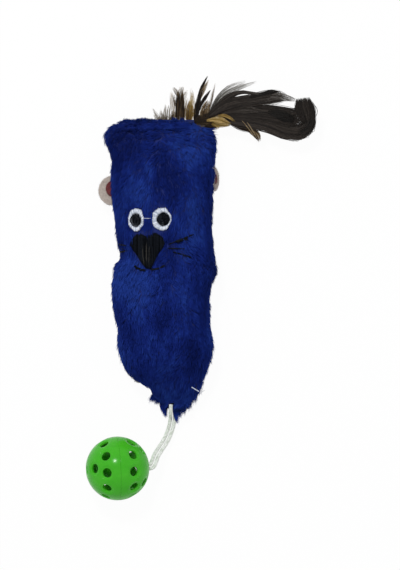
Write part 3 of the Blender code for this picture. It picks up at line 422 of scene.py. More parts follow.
upper_locks = (
    (440, 0.2, -0.04, (
        (206, 118.5, 15.2, 0.8), (216, 111.4, 16.6, 2.8), (227, 105.6, 18, 5), (239, 102.4, 19.6, 4.8),
        (251, 100.8, 20.8, 4.6), (262, 98.9, 21.7, 5.6), (271.5, 97.2, 22.3, 6), (279.6, 97, 22.4, 5.6),
        (286.6, 98.2, 22.2, 3.6),
    )),
    (130, 0.16, -0.04, (
        (209, 114.5, 15.6, 0.8), (215, 107.6, 16.4, 1.8), (223, 100.4, 17.6, 2.4), (232, 95, 19, 2.2),
        (242, 92.2, 20.4, 1.5), (252, 93.4, 21.6, 1.3), (262, 94.6, 22.3, 1.5), (271, 93.4, 22.7, 1.6),
    )),
    (60, 0.17, -0.3, (
        (250, 97.4, 22, 0.9), (262, 94.8, 22.6, 1.4), (271, 91.8, 22.9, 1.5), (278.6, 92.2, 22.9, 0.9),
    )),
    (46, 0.09, 0.3, (
        (256, 103.2, 21.4, 1.6), (266, 102.6, 22, 2.6), (275, 100.6, 22.4, 3.4), (283, 99.6, 22.2, 2.6),
        (292.5, 100.2, 21.8, 1),
    )),
    (50, 0.08, 0.3, (
        (270, 96.4, 22.8, 1.6), (279.4, 96, 23, 2.8), (288.6, 98.6, 22.6, 2.4), (298, 101.2, 22, 1.2),
    )),
)
wispy_locks = (
    (84, 0.085, 0.04, (
        (204.5, 119, 14.4, 0.6), (211, 110.4, 15.2, 1.2), (215.6, 102, 16.2, 1.9), (222.4, 93.8, 17, 2.7),
        (231, 87.6, 17.6, 3.2), (240, 83.8, 17.9, 2.4), (246.6, 80.6, 18, 0.8),
    )),
    (72, 0.085, 0.12, (
        (206, 117, 14.8, 0.6), (213.4, 108.6, 15.6, 1.2), (219.6, 100.6, 16.6, 1.8),
        (228.4, 93.2, 17.4, 2.2), (239, 88, 17.8, 2), (249, 84.2, 18, 1.6), (257.4, 81.6, 18, 0.7),
    )),
    (56, 0.1, -0.12, (
        (213, 108, 15.4, 1), (220, 100.6, 16.8, 2.6), (228, 96, 17.4, 2.4), (235.4, 92, 17.8, 1),
    )),
)
fringe_locks = (
    (260, 0.16, -0.3, (
        (218, 117.6, 16.2, 1.2), (229, 119.6, 16.8, 3.4), (240, 123.6, 16.6, 5), (249, 127.4, 15.8, 4.6),
        (256.4, 131.4, 15, 2.2),
    )),
    (70, 0.13, -0.1, (
        (236, 119.4, 17.6, 0.8), (244, 125, 16.8, 1.5), (251, 131.6, 15.8, 1.6), (256, 137, 15, 1.1),
        (259.4, 142, 14.2, 0.4),
    )),
    (12, 0.08, 0.34, (
        (241.6, 120.6, 20.4, 0.4), (246.6, 126.4, 19.6, 0.5), (251.4, 132.6, 18, 0.5),
        (255.4, 138.6, 16.6, 0.3),
    )),
    (8, 0.08, 0.36, (
        (246.4, 121, 20.6, 0.4), (250.8, 127.4, 19.6, 0.4), (255.2, 134.6, 17.6, 0.4),
        (257.4, 139.6, 16.4, 0.2),
    )),
    (90, 0.11, 0.1, (
        (249, 127.6, 16.4, 1.8), (255.4, 131.4, 15.6, 2.4), (258.6, 135.4, 15, 2),
        (259.6, 141.4, 14.6, 1.2),
    )),
)
tuft_locks = (
    (190, 0.14, 0.14, (
        (207, 120.4, 14.2, 0.8), (213.4, 120.6, 14.4, 2.4), (218.6, 122.4, 14.2, 3.8),
        (224, 123.4, 13.8, 3), (230.6, 124.6, 13.4, 0.9),
    )),
    (90, 0.13, -0.12, (
        (210, 121.4, 13.8, 1), (214.4, 123.8, 13.6, 2.6), (217, 126.2, 13, 2.4), (217.4, 129, 12.4, 0.8),
    )),
    (90, 0.1, 0.06, (
        (206.6, 120.4, 16.6, 0.8), (213, 119.6, 17.6, 1.8), (219.6, 120.2, 18.6, 2.8),
        (225.6, 122.4, 18.4, 2.6), (231.6, 124.4, 17.6, 1),
    )),
    (22, 0.09, -0.14, (
        (218, 115.4, 18.8, 0.6), (224, 115.4, 19.6, 1.2), (230, 118, 20.2, 1.1), (236, 122, 20.2, 0.5),
    )),
    (18, 0.12, 0.5, (
        (215.4, 117.2, 18.8, 0.5), (217.4, 117.6, 19.4, 0.9), (219.6, 118.4, 19.2, 0.4),
    )),
)
tall_locks = (
    (170, 0.14, -0.36, (
        (195.2, 122.4, 13.1, 1.6), (196.4, 113.4, 14.4, 2.4), (197.9, 104.6, 15.5, 2.1),
        (199.7, 95.4, 16.5, 1.6), (202, 87.4, 17.2, 1.4), (205, 80.8, 17.6, 0.9), (207.9, 75.4, 18, 0.3),
    )),
    (90, 0.13, -0.36, (
        (197.6, 112, 14.8, 1), (200.8, 104.2, 15.6, 1.2), (204.6, 98, 16.2, 1.2), (208.2, 93, 16.6, 0.9),
        (210.8, 89.4, 16.8, 0.3),
    )),
    (34, 0.09, 0.24, (
        (199.8, 99, 16.2, 1), (203, 91, 16.8, 1.6), (206.4, 84, 17.3, 1.2), (208.8, 79, 17.6, 0.4),
    )),
    (20, 0.08, 0.12, (
        (207.6, 117, 14.6, 1.4), (210.4, 104.6, 15.6, 1.5), (212.8, 94, 16.4, 1.2), (215.6, 81.6, 17, 0.6),
    )),
    (130, 0.11, 0.16, (
        (202.4, 124, 13.4, 3.4), (204.2, 114.6, 14.6, 4.2), (206.2, 106.4, 15.4, 3.4),
        (208.6, 99.6, 15.9, 1.2),
    )),
    (330, 0.15, -0.2, (
        (193.4, 121.8, 13.4, 2), (200, 119.4, 14.2, 4.4), (207.4, 117.6, 14.8, 5.2),
        (215, 115.6, 15.4, 4.6), (223.4, 112.6, 16.2, 2.6),
    )),
    (130, 0.14, -0.24, (
        (195.6, 122.2, 13.2, 1.4), (203, 123.4, 13.6, 2.6), (210.4, 125.2, 13.6, 2.6),
        (217, 127.4, 13.2, 0.8),
    )),
    (22, 0.12, 0.24, (
        (206, 124, 14.4, 0.8), (212.4, 119.6, 15.4, 1), (219.8, 114, 16.6, 0.7),
    )),
    (22, 0.07, 0.28, (
        (194, 118, 13.8, 1.6), (192.8, 106, 15.2, 2.2), (191.6, 95, 16.6, 2), (190.6, 87, 17.4, 0.8),
    )),
)
brown_locks = (
    (120, 0.12, -0.24, (
        (177.4, 122.4, 13.1, 1.2), (177.5, 111.6, 15, 1.8), (178, 101.4, 17.2, 2), (178.4, 90.2, 18.8, 1.3),
    )),
    (120, 0.12, -0.16, (
        (182.4, 122.4, 13.1, 1.4), (182.4, 111.6, 15, 2), (182.1, 101.4, 17.2, 2), (182, 90.6, 18.8, 1.2),
    )),
    (70, 0.12, 0.08, (
        (179.8, 122, 13.6, 2), (180, 110, 15.6, 2.4), (180.2, 97, 18, 2.2),
    )),
    (34, 0.07, 0.1, (
        (178.6, 97.6, 17.8, 1.4), (176, 91.6, 18.6, 1.8), (172.8, 87.4, 19.2, 1),
    )),
    (44, 0.06, 0.14, (
        (180, 99, 17.8, 2.2), (180.6, 92.6, 18.8, 2.8), (182, 86, 19.4, 2.2),
    )),
    (26, 0.06, 0.22, (
        (183, 104, 16.8, 1.4), (185, 96, 18, 1.6), (187.8, 90, 18.8, 1),
    )),
    (20, 0.07, 0.1, (
        (176.6, 108, 16, 1.2), (174.4, 99, 17.4, 1.4), (173.6, 92.6, 18.2, 0.8),
    )),
    (34, 0.08, 0.28, (
        (175, 121.6, 13.4, 1.4), (173, 110.6, 15, 2.2), (171.8, 99.6, 16.6, 2), (171, 91, 17.6, 0.9),
    )),
    (26, 0.08, 0.28, (
        (184.4, 120.6, 13.6, 1.2), (185.8, 108, 15.2, 1.8), (187.6, 97, 16.8, 1.4),
    )),
    (60, 0.1, 0.02, (
        (170.4, 122, 13.3, 2.2), (172.6, 117.4, 14, 2.6), (174, 110.6, 14.8, 2),
    )),
)
yellow_locks = (
    (150, 0.12, -0.17, (
        (189.2, 122.2, 13.1, 2.4), (189.6, 114, 14.4, 3.2), (189.9, 107, 15.2, 2.7),
        (190.4, 99.6, 15.8, 1.2),
    )),
    (22, 0.1, -0.4, (
        (187.8, 121, 13.8, 0.8), (188.6, 112, 15, 0.9), (189.4, 103.6, 15.9, 0.5),
    )),
    (36, 0.07, 0.36, (
        (190, 116, 14.2, 2), (191.2, 103.6, 15.8, 2.6), (193, 91, 17, 1.4),
    )),
)
sparse_locks = (
    (22, 0.09, 0.08, (
        (161.8, 122.4, 13.1, 1.6), (158.4, 117.4, 14, 1.6), (154.6, 111.4, 14.8, 1.1),
        (152.2, 107.6, 15.4, 0.4),
    )),
    (22, 0.09, 0.1, (
        (162.6, 122.4, 13.1, 1.6), (161, 115.4, 14.4, 1.7), (160.4, 108.8, 15.2, 0.9),
    )),
    (20, 0.09, 0.12, (
        (164.4, 122.4, 13.1, 1.6), (164.6, 113, 14.6, 1.5), (165.8, 103.6, 15.8, 0.6),
    )),
    (24, 0.09, 0.08, (
        (167.8, 122.4, 13.1, 1.8), (168.2, 113.4, 14.6, 1.8), (169.4, 103.4, 15.8, 0.8),
    )),
    (12, 0.08, 0.14, (
        (158, 122.4, 13.2, 1.4), (155.4, 117, 14, 1.2), (153.4, 114, 14.4, 0.6),
    )),
    (90, 0.1, -0.14, (
        (163.6, 123, 13.1, 4.6), (163.4, 118.4, 13.8, 4.8), (163.2, 114.4, 14.4, 3.6),
    )),
)
barb_stations = 11
barb_start = 0.30
barb_end = 0.34
barb_level = 0.35 * MM
barb_wander = 0.10
barb_widths = (0.6, 1.25)
barb_bands = ((0.10, 4.5), (0.08, 11))
barb_tones = 0.13
barb_flatness = 0.6
barb_taper = ((0, 0.2, 0.7, 1), (0.7, 1.0, 0.9, 0.25))
lock_points = 80
point_pitch = 0.7 * MM
point_gather = 0.75
quill_points = 60
quill_end = 40
quill_tip = 0.3
quill_tone = 0.12
feather_seed = 101


def at(x, y, height=0.0):
    """The place in metres that a pixel of the photograph shows, at a height."""
    return Vector(((x - origin_pixel[0]) * pixel_size, (origin_pixel[1] - y) * pixel_size, height))


def unit(vectors):
    """Vectors scaled to length one, along the last axis."""
    lengths = np.linalg.norm(vectors, axis=-1, keepdims=True)
    return vectors / np.maximum(lengths, 1e-12)


def mixed(first, second, share):
    """First at a share of 0 and second at 1."""
    return first * (1 - share) + second * share


def drift(points, size, seed, waves=7):
    """A smooth random value from about -1 to 1 at each point, which changes over about this size."""
    draw = np.random.default_rng(seed)
    total = np.zeros(len(points))
    for _ in range(waves):
        direction = unit(draw.normal(size=3))
        pace = draw.uniform(0.6, 1.5) * 2 * math.pi / (2.2 * size)
        total += np.sin(points @ direction * pace + draw.uniform(0, 2 * math.pi))
    return total / math.sqrt(waves)


def any_tones(draw, count):
    """Random tones for that many fibres."""
    return draw.uniform(-0.5, 0.5, count)


def smooth_line(points, count):
    """Evenly spaced points on a smooth curve through the given ones, whatever number of columns they have."""
    table = np.array([list(point) for point in points], float)
    steps = np.linalg.norm(np.diff(table[:, :3], axis=0), axis=1)
    ways = np.concatenate(([0.0], np.cumsum(steps)))
    slopes = np.gradient(table, ways, axis=0)
    wanted = np.linspace(0, ways[-1], count)
    row = np.clip(np.searchsorted(ways, wanted) - 1, 0, len(ways) - 2)
    span = (ways[row + 1] - ways[row])[:, None]
    share = (wanted - ways[row])[:, None] / span
    rise = share * share * (3 - 2 * share)
    return (
        table[row] * (1 - rise)
        + table[row + 1] * rise
        + slopes[row] * span * share * (1 - share) ** 2
        + slopes[row + 1] * span * share * share * (share - 1)
    )


class Fibres:
    """Many closed fibres gathered into one mesh, each with its own tone and its own cell of a texture map."""

    def __init__(self):
        self.points = []
        self.normals = []
        self.faces = []
        self.tones = []
        self.alongs = []
        self.maps = []
        self.cells = []
        self.made = 0
        self.fibres = 0
        self.soft = False

    def add(self, paths, widths, ups, tones, sides=3, flatness=0.7, pointed=True, softness=0.0):
        """Paths are (fibre, station, xyz), widths are half widths (fibre, station), ups are (fibre, xyz).

        Softness is the share of a fibre's shading that follows its up direction and not its own roundness.
        """
        count, stations = paths.shape[:2]
        runs = unit(np.gradient(paths, axis=1))
        across = unit(np.cross(runs, ups[:, None, :]))
        above = np.cross(across, runs)
        rings = stations - 1 if pointed else stations
        turns = math.pi / 2 - 2 * math.pi * np.arange(sides) / sides
        shape = (
            across[:, :, None, :] * np.cos(turns)[None, None, :, None]
            + above[:, :, None, :] * np.sin(turns)[None, None, :, None] * flatness
        )
        ring_points = paths[:, :rings, None, :] + shape[:, :rings] * widths[:, :rings, None, None]
        points = ring_points.reshape(count, rings * sides, 3)
        own = unit(shape[:, :rings]).reshape(count, rings * sides, 3)
        along = np.repeat(np.linspace(0, 1, stations)[:rings], sides)
        if pointed:
            points = np.concatenate((points, paths[:, -1:, :]), axis=1)
            own = np.concatenate((own, ups[:, None, :]), axis=1)
            along = np.append(along, 1.0)
        each = len(along)
        starts = self.made + each * np.arange(count)

        station, side = np.meshgrid(np.arange(rings - 1), np.arange(sides), indexing="ij")
        station, side = station.ravel(), side.ravel()
        after = (side + 1) % sides
        low = station * sides
        quad = np.stack((low + side, low + after, low + sides + after, low + sides + side), axis=1)
        level = cell_foot + cell_run * np.arange(stations) / (stations - 1)
        quad_map = [
            np.stack(((side + right) / sides, level[station + up]), axis=1)
            for right, up in ((0, 0), (1, 0), (1, 1), (0, 1))
        ]
        self._faces(starts, quad, np.stack(quad_map, axis=1))
        corner = np.arange(sides)
        last = (rings - 1) * sides
        cap_map = np.stack((0.5 + cap_half_width * np.cos(turns), cap_height * (1 + np.sin(turns))), axis=1)
        self._faces(starts, corner[::-1][None, :], cap_map[::-1][None])
        if pointed:
            peak = np.full(sides, rings * sides)
            tip = np.stack((last + corner, last + (corner + 1) % sides, peak), axis=1)
            tip_map = [
                np.stack(((corner + right) / sides, np.full(sides, level[up])), axis=1)
                for right, up in ((0, -2), (1, -2), (0.5, -1))
            ]
            self._faces(starts, tip, np.stack(tip_map, axis=1))
        else:
            self._faces(starts, (last + corner)[None, :], cap_map[None])
        self.normals.append(unit(mixed(own, ups[:, None, :], softness)).reshape(-1, 3))
        self.soft = self.soft or softness > 0
        self.points.append(points.reshape(-1, 3))
        self.tones.append(np.repeat(tones, each))
        self.alongs.append(np.tile(along, count))
        self.made += each * count
        self.fibres += count

    def _faces(self, starts, pattern, pattern_map):
        """Repeats a pattern of faces, and their places in a cell of the map, for every fibre."""
        faces = (starts[:, None, None] + pattern[None]).reshape(-1, pattern.shape[1])
        self.faces.extend(faces.tolist())
        self.maps.append(np.tile(pattern_map.reshape(-1, 2), (len(starts), 1)))
        cells = self.fibres + np.arange(len(starts))
        self.cells.append(np.repeat(cells, pattern.shape[0] * pattern.shape[1]))

    def build(self, name, look):
        """The object."""
        mesh = bpy.data.meshes.new(name)
        mesh.from_pydata(np.concatenate(self.points).tolist(), [], self.faces)
        for label, values in (("tone", self.tones), ("along", self.alongs)):
            attribute = mesh.attributes.new(label, "FLOAT", "POINT")
            attribute.data.foreach_set("value", np.concatenate(values).astype(np.float32))
        wide = math.ceil(math.sqrt(self.fibres))
        cells = np.concatenate(self.cells)
        places = cell_margin + (1 - 2 * cell_margin) * np.concatenate(self.maps)
        places[:, 0] += cells % wide
        places[:, 1] += cells // wide
        layer = mesh.uv_layers.new(name="OFBake")
        layer.data.foreach_set("uv", (places / wide).astype(np.float32).ravel())
        made = placed(name, mesh, look)
        if self.soft:
            mesh.normals_split_custom_set_from_vertices(np.concatenate(self.normals).tolist())
        return made


def placed(name, mesh, look):
    """An object of that mesh, shaded smooth, in the scene."""
    mesh.shade_smooth()
    mesh.materials.clear()
    mesh.materials.append(look)
    made = bpy.data.objects.new(name, mesh)
    bpy.context.scene.collection.objects.link(made)
    return made


def from_points(name, points, faces, look):
    """An object from points and faces."""
    mesh = bpy.data.meshes.new(name)
    mesh.from_pydata([tuple(point) for point in points], [], faces)
    return placed(name, mesh, look)


def baked(made, kind, **settings):
    """Replaces an object's mesh by what a modifier makes of it."""
    look = made.data.materials[0]
    step = made.modifiers.new(kind.lower(), kind)
    for name, value in settings.items():
        setattr(step, name, value)
    bpy.context.view_layer.update()
    evaluated = made.evaluated_get(bpy.context.evaluated_depsgraph_get())
    mesh = bpy.data.meshes.new_from_object(evaluated)
    made.modifiers.clear()
    made.data = mesh
    mesh.materials.clear()
    mesh.materials.append(look)
    return made


def carried(made, body, *nodes, slot=None):
    """Makes a piece ride on a body and stand for nodes; the slot is not used."""
    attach(made, body)
    if nodes:
        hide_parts(*nodes)
    return made


class Graph:
    """The nodes of a material or of the world."""

    def __init__(self, owner):
        owner.use_nodes = True
        self.nodes = owner.node_tree.nodes
        self.links = owner.node_tree.links

    def put(self, socket, value):
        """Links a value to a socket, or sets it; a colour may have three parts."""
        if isinstance(value, bpy.types.NodeSocket):
            self.links.new(value, socket)
        elif socket.type == "RGBA":
            socket.default_value = (*value[:3], 1.0)
        else:
            socket.default_value = value

    def add(self, kind, inputs, **settings):
        """A new node, with its settings and its inputs by name or place."""
        made = self.nodes.new("ShaderNode" + kind)
        for name, value in settings.items():
            setattr(made, name, value)
        for name, value in inputs.items():
            self.put(made.inputs[name], value)
        return made

    def sum(self, first, second, operation="ADD", third=None):
        """Arithmetic on two or three values."""
        values = [value for value in (first, second, third) if value is not None]
        return self.add("Math", dict(enumerate(values)), operation=operation).outputs[0]


class Look(Graph):
    """A material under construction: a Principled shader and the nodes that drive it."""

    def __init__(self, name, roughness, **sockets):
        self.material = bpy.data.materials.new(name)
        super().__init__(self.material)
        self.shader = self.nodes["Principled BSDF"]
        self.place = self.add("TexCoord", {}).outputs["Object"]
        self.set(Roughness=roughness, **sockets)

    def set(self, **sockets):
        """Sets or links the shader's sockets."""
        for name, value in sockets.items():
            self.put(self.shader.inputs[name.replace("_", " ")], value)

    def noise(self, size, detail=3.0, stretch=(1, 1, 1)):
        """Noise whose features are about this size, shorter along the axes that stretch enlarges."""
        mapping = self.add("Mapping", {"Vector": self.place, "Scale": [part / size for part in stretch]})
        inputs = {"Scale": 1.0, "Detail": detail, "Roughness": noise_roughness}
        return self.add("TexNoise", {"Vector": mapping.outputs["Vector"], **inputs}).outputs["Fac"]

    def spot(self, centre, radii):
        """A soft spot: 1 at the centre and 0 outside the radii, all in millimetres."""
        shift = [-middle / radius for middle, radius in zip(centre, radii)]
        scale = [1 / (radius * MM) for radius in radii]
        mapping = self.add("Mapping", {"Vector": self.place, "Location": shift, "Scale": scale})
        gradient = self.add("TexGradient", {"Vector": mapping.outputs["Vector"]}, gradient_type="SPHERICAL")
        return gradient.outputs["Fac"]

    def attribute(self, name):
        """The value of a named attribute of the mesh."""
        return self.add("Attribute", {}, attribute_name=name).outputs["Fac"]

    def ramp(self, value, *stops):
        """A colour for each value, smooth between the stops of (place, colour)."""
        made = self.add("ValToRGB", {"Fac": value})
        parts = made.color_ramp.elements
        while len(parts) < len(stops):
            parts.new(0.5)
        for part, (place, colour) in zip(parts, stops):
            part.position = place
            part.color = (*colour, 1.0)
        return made.outputs["Color"]

    def product(self, *colours):
        """Two colours multiplied."""
        made = self.add("Mix", {"Factor": 1.0}, data_type="RGBA", blend_type="MULTIPLY")
        sockets = [socket for socket in made.inputs if socket.type == "RGBA"]
        for socket, colour in zip(sockets, colours):
            self.put(socket, colour)
        return [socket for socket in made.outputs if socket.type == "RGBA"][0]

    def bump(self, height, strength, depth):
        """Raises the surface by a value."""
        made = self.add("Bump", {"Strength": strength, "Distance": depth, "Height": height})
        self.set(Normal=made.outputs["Normal"])

    def rough(self, value, low, high):
        """Roughness that follows a value from 0 to 1."""
        made = self.add("MapRange", {"To Min": low, "To Max": high, "Value": value})
        self.set(Roughness=made.outputs["Result"])


def plush_look(name, low, middle, high):
    """Blue pile: streaks along the nap, broad patches, a tone for each fibre, spots of painted light and
    shade, and painted shade at the roots.
    """
    sheen = {"Sheen_Weight": 0.05, "Sheen_Roughness": 0.5, "Sheen_Tint": (0.15, 0.36, 1.0)}
    look = Look(name, 0.85, Specular_IOR_Level=0.06, **sheen)
    mixture = look.sum(look.noise(24 * MM, 2.0, (1.0, 0.7, 1.0)), 0.9, "MULTIPLY")
    mixture = look.sum(look.noise(4.5 * MM, 3.0, (1.0, 0.22, 1.0)), 0.65, "MULTIPLY_ADD", mixture)
    mixture = look.sum(look.attribute("tone"), 0.18, "MULTIPLY_ADD", mixture)
    # Spots of painted light and shade, lighter or darker by their strength.
    for centre, radii, strength in painted_light_shade_spots:
        mixture = look.sum(look.spot(centre, radii), strength, "MULTIPLY_ADD", mixture)
    colour = look.ramp(mixture, (0.52, low), (0.80, middle), (1.0, high))
    # Painted shade: each fibre darker towards its root, deep among the others.
    root = look.ramp(look.attribute("along"), (0.0, (0.72, 0.72, 0.75)), (0.7, (1.0, 1.0, 1.0)))
    look.set(Base_Color=look.product(colour, root))
    return look.material


def simple_look(
    name, low, high, size, roughness, stretch=(1, 1, 1), bump=0.25, depth=bump_depth, tones=0.30, **sockets
):
    """A material with two mixed tones, fibre tones and fine bumps."""
    look = Look(name, roughness, **sockets)
    mixture = look.sum(look.attribute("tone"), tones, "MULTIPLY_ADD", look.noise(size, 4.0, stretch))
    look.set(Base_Color=look.ramp(mixture, (0.25, low), (0.75, high)))
    look.bump(look.noise(size * 0.3, 3.0, stretch), bump, depth)
    look.rough(look.noise(size * 0.7, 2.0), roughness - 0.06, min(roughness + 0.06, 1.0))
    return look.material


def feather_look(name, run, *stops):
    """Barbs whose colour follows their tone, lighter towards the tip, with fine bars across."""
    look = Look(name, 0.6, Specular_IOR_Level=0.12, Sheen_Weight=0.04)
    shade = look.sum(look.attribute("tone"), 0.5)
    shade = look.sum(look.attribute("along"), run, "MULTIPLY_ADD", shade)
    shade = look.sum(look.noise(1.8 * MM, 3.0), 0.22, "MULTIPLY_ADD", shade)
    look.set(Base_Color=look.ramp(look.sum(shade, 0.11 + run / 2, "SUBTRACT"), *stops))
    look.rough(look.noise(1.2 * MM, 2.0), 0.45, 0.68)
    return look.material


def plastic_look(name, low, high):
    """Glossy moulded plastic with faint flow marks and scuffs."""
    depth = {"Subsurface_Weight": 0.12, "Subsurface_Scale": 1.0 * MM, "Subsurface_Radius": (0.5, 1.0, 0.3)}
    look = Look(name, 0.2, IOR=1.26, **depth)
    look.set(Base_Color=look.ramp(look.noise(11 * MM, 3.0, (0.5, 1.4, 1.0)), (0.3, low), (0.7, high)))
    look.bump(look.noise(0.9 * MM, 3.0), 0.05, 0.05 * MM)
    look.rough(look.noise(6 * MM, 4.0), 0.12, 0.26)
    return look.material


def plain_light():
    """The world's even light and one soft lamp near the camera."""
    world = bpy.data.worlds.new("room")
    bpy.context.scene.world = world
    graph = Graph(world)
    lighting = graph.nodes["Background"]
    graph.put(lighting.inputs["Color"], (1.0, 1.0, 1.0))
    graph.put(lighting.inputs["Strength"], world_share)
    seen = graph.add("Background", {"Color": (1.0, 1.0, 1.0), "Strength": 1.0})
    rays = graph.add("LightPath", {}).outputs
    either = graph.sum(rays["Is Camera Ray"], rays["Is Transmission Ray"], "MAXIMUM")
    any_ray = graph.sum(either, rays["Is Glossy Ray"], "MAXIMUM")
    mix = graph.add("MixShader", {"Fac": any_ray, 1: lighting.outputs[0], 2: seen.outputs[0]})
    graph.put(graph.nodes["World Output"].inputs["Surface"], mix.outputs[0])

    lamp = bpy.data.lights.new("key", "AREA")
    lamp.shape = "DISK"
    lamp.size = key_size
    lamp.energy = key_share * math.pi**2 * key_distance**2
    key = bpy.data.objects.new("key", lamp)
    aim = Vector(key_direction).normalized()
    key.location = ball_centre + aim * key_distance
    key.rotation_mode = "QUATERNION"
    key.rotation_quaternion = aim.to_track_quat("Z", "Y")
    bpy.context.scene.collection.objects.link(key)


def pale_floor():
    """A floor that the camera sees nearly white, with the toy's shadow on it."""
    half = floor_half_width
    corners = [(-half, -half, 0), (half, -half, 0), (half, half, 0), (-half, half, 0)]
    look = Look("pale_floor", 0.9, Specular_IOR_Level=0.1, Base_Color=(0.93, 0.93, 0.93))
    glow = look.add("Emission", {"Strength": 1.0})
    share = look.sum(look.add("LightPath", {}).outputs["Is Camera Ray"], floor_glow, "MULTIPLY")
    mix = look.add("MixShader", {"Fac": share, 1: look.shader.outputs[0], 2: glow.outputs[0]})
    look.put(look.nodes["Material Output"].inputs["Surface"], mix.outputs[0])
    from_points("floor", corners, [(0, 1, 2, 3)], look.material)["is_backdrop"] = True


def overhead_camera():
    """The photograph's view, straight down."""
    data = bpy.data.cameras.new("camera")
    data.sensor_width = sensor_width
    data.lens = sensor_width * camera_distance / (picture_pixels[1] * pixel_size)
    data.clip_start = camera_near
    data.clip_end = camera_far
    camera = bpy.data.objects.new("camera", data)
    middle = at(picture_pixels[0] / 2, picture_pixels[1] / 2)
    camera.location = (middle.x, middle.y, focus_level + camera_distance)
    bpy.context.scene.collection.objects.link(camera)
    bpy.context.scene.camera = camera


def tree_of(*names):
    """A target for rays, made of those nodes' meshes."""
    points = []
    faces = []
    for name in names:
        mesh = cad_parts[name].data
        first = len(points)
        points.extend(vertex.co.copy() for vertex in mesh.vertices)
        faces.extend([first + index for index in face.vertices] for face in mesh.polygons)
    return BVHTree.FromPolygons(points, faces)


cover_tree = tree_of("front_cover", "back_cover")


def seam_at(y):
    """The seam's height above the floor at a place along the body."""
    return float(np.interp(y, seam_line[:, 0], seam_line[:, 1]))


def on_cover(start, direction):
    """Where a ray meets the covers, or None."""
    return cover_tree.ray_cast(Vector(start), Vector(direction))[0]


def face_level(x, y):
    """The height of the front cover there."""
    hit = on_cover((x, y, far), (0, 0, -1))
    return hit.z if hit else seam_at(y)


def face_point(x, y, height):
    """The point this high above the front cover, square to it."""
    slope_x = (face_level(x + slope_step, y) - face_level(x - slope_step, y)) / (2 * slope_step)
    slope_y = (face_level(x, y + slope_step) - face_level(x, y - slope_step)) / (2 * slope_step)
    return Vector((x, y, face_level(x, y))) + Vector((-slope_x, -slope_y, 1)).normalized() * height


def lip(x, end):
    """How far the seam's lips stand apart there: round the feathers at the top, and the knot at the tip."""
    if end == "top":
        inside = min(x - slot_left, slot_right - x) / slot_fade
        return slot_open * min(max(inside, 0.0), 1.0)
    return math.sqrt(max(knot_open**2 - (x - cord_exit[0]) ** 2, 0.0))


def skin_grid(side):
    """Rows of points over one cover from the tip to the top, each row from the right seam to the left."""
    rows = []
    for y in np.linspace(tip_y + end_round, top_y - end_round, skin_rows):
        level = seam_at(y) + side * seam_clearance
        left = on_cover((-far, y, level), (1, 0, 0)).x
        right = on_cover((far, y, level), (-1, 0, 0)).x
        middle = Vector(((left + right) / 2, y, level))
        row = []
        for turn in np.linspace(0, math.pi, skin_columns):
            outward = Vector((math.cos(turn), 0, side * math.sin(turn)))
            row.append(on_cover(middle + outward * far, -outward))
        rows.append(row)
    grid = np.array([[list(point) for point in row] for row in rows])
    grid -= grid_normals(grid, side) * skin_drop
    grid[..., 2] = np.maximum(grid[..., 2], skin_drop)
    tip = [cap_line(grid[0], "tip", -1, side, share, out) for share, out in zip(cap_shares, cap_outs)]
    top = [cap_line(grid[-1], "top", 1, side, share, out) for share, out in zip(cap_shares, cap_outs)]
    grid = np.concatenate((np.array(tip[::-1]), grid, np.array(top)))
    dents = drift(grid.reshape(-1, 3), dent_size, dent_seed).reshape(grid.shape[:2])
    dents[: len(cap_shares)] = -1
    dents[-len(cap_shares) :] = -1
    grid -= grid_normals(grid, side) * (dent_depth * (0.5 + 0.5 * dents))[..., None]
    grid[..., 2] = np.maximum(grid[..., 2], skin_drop)
    return grid


def cap_line(row, end, way, side, share, out):
    """One row past an end of the skin, drawn in towards the seam by a share and moved out by another."""
    seam = seam_at(row[0][1])
    middle = row[:, 0].mean()
    line = row.copy()
    lips = np.array([lip(x, end) for x in row[:, 0]]) + seam_clearance
    rise = side * (row[:, 2] - seam)
    rise = np.where(rise > lips, lips + (rise - lips) * share, rise)
    line[:, 2] = seam + side * rise
    line[:, 0] = middle + (row[:, 0] - middle) * (1 - cap_draw * (1 - share))
    line[:, 1] += way * end_round * out
    return line


def grid_normals(grid, side):
    """The outward direction at each point of a grid."""
    along = np.gradient(grid, axis=0)
    across = np.gradient(grid, axis=1)
    return unit(np.cross(across, along)) * -side


def skin(name, side, grid, look):
    """A sheet of plush backing over one cover, closed by an inner face."""
    inner = grid - grid_normals(grid, side) * skin_thickness
    rows, columns = grid.shape[:2]
    points = np.concatenate((grid.reshape(-1, 3), inner.reshape(-1, 3)))
    faces = []
    layer = rows * columns
    for row in range(rows - 1):
        for column in range(columns - 1):
            here = row * columns + column
            quad = (here, here + 1, here + columns + 1, here + columns)
            faces.append(quad)
            faces.append(tuple(index + layer for index in reversed(quad)))
    rim = [column for column in range(columns)]
    rim += [row * columns + columns - 1 for row in range(1, rows)]
    rim += [(rows - 1) * columns + column for column in reversed(range(columns - 1))]
    rim += [row * columns for row in reversed(range(1, rows - 1))]
    for here, there in zip(rim, rim[1:] + rim[:1]):
        faces.append((here, here + layer, there + layer, there))
    made = from_points(name, points, faces, look)
    outwards(made)
    return made


def outwards(made):
    """Turns all faces of an object outwards."""
    shape = bmesh.new()
    shape.from_mesh(made.data)
    bmesh.ops.recalc_face_normals(shape, faces=shape.faces)
    shape.to_mesh(made.data)
    shape.free()


def inside_outline(points, outline):
    """True for the points inside a closed outline, all as (x, y)."""
    x, y = points[:, 0], points[:, 1]
    inside = np.zeros(len(points), bool)
    for (x1, y1), (x2, y2) in zip(outline, outline[1:] + outline[:1]):
        crosses = (y1 > y) != (y2 > y)
        reach = (x2 - x1) * (y - y1) / (y2 - y1 if y2 != y1 else 1e-12) + x1
        inside ^= crosses & (x < reach)
    return inside


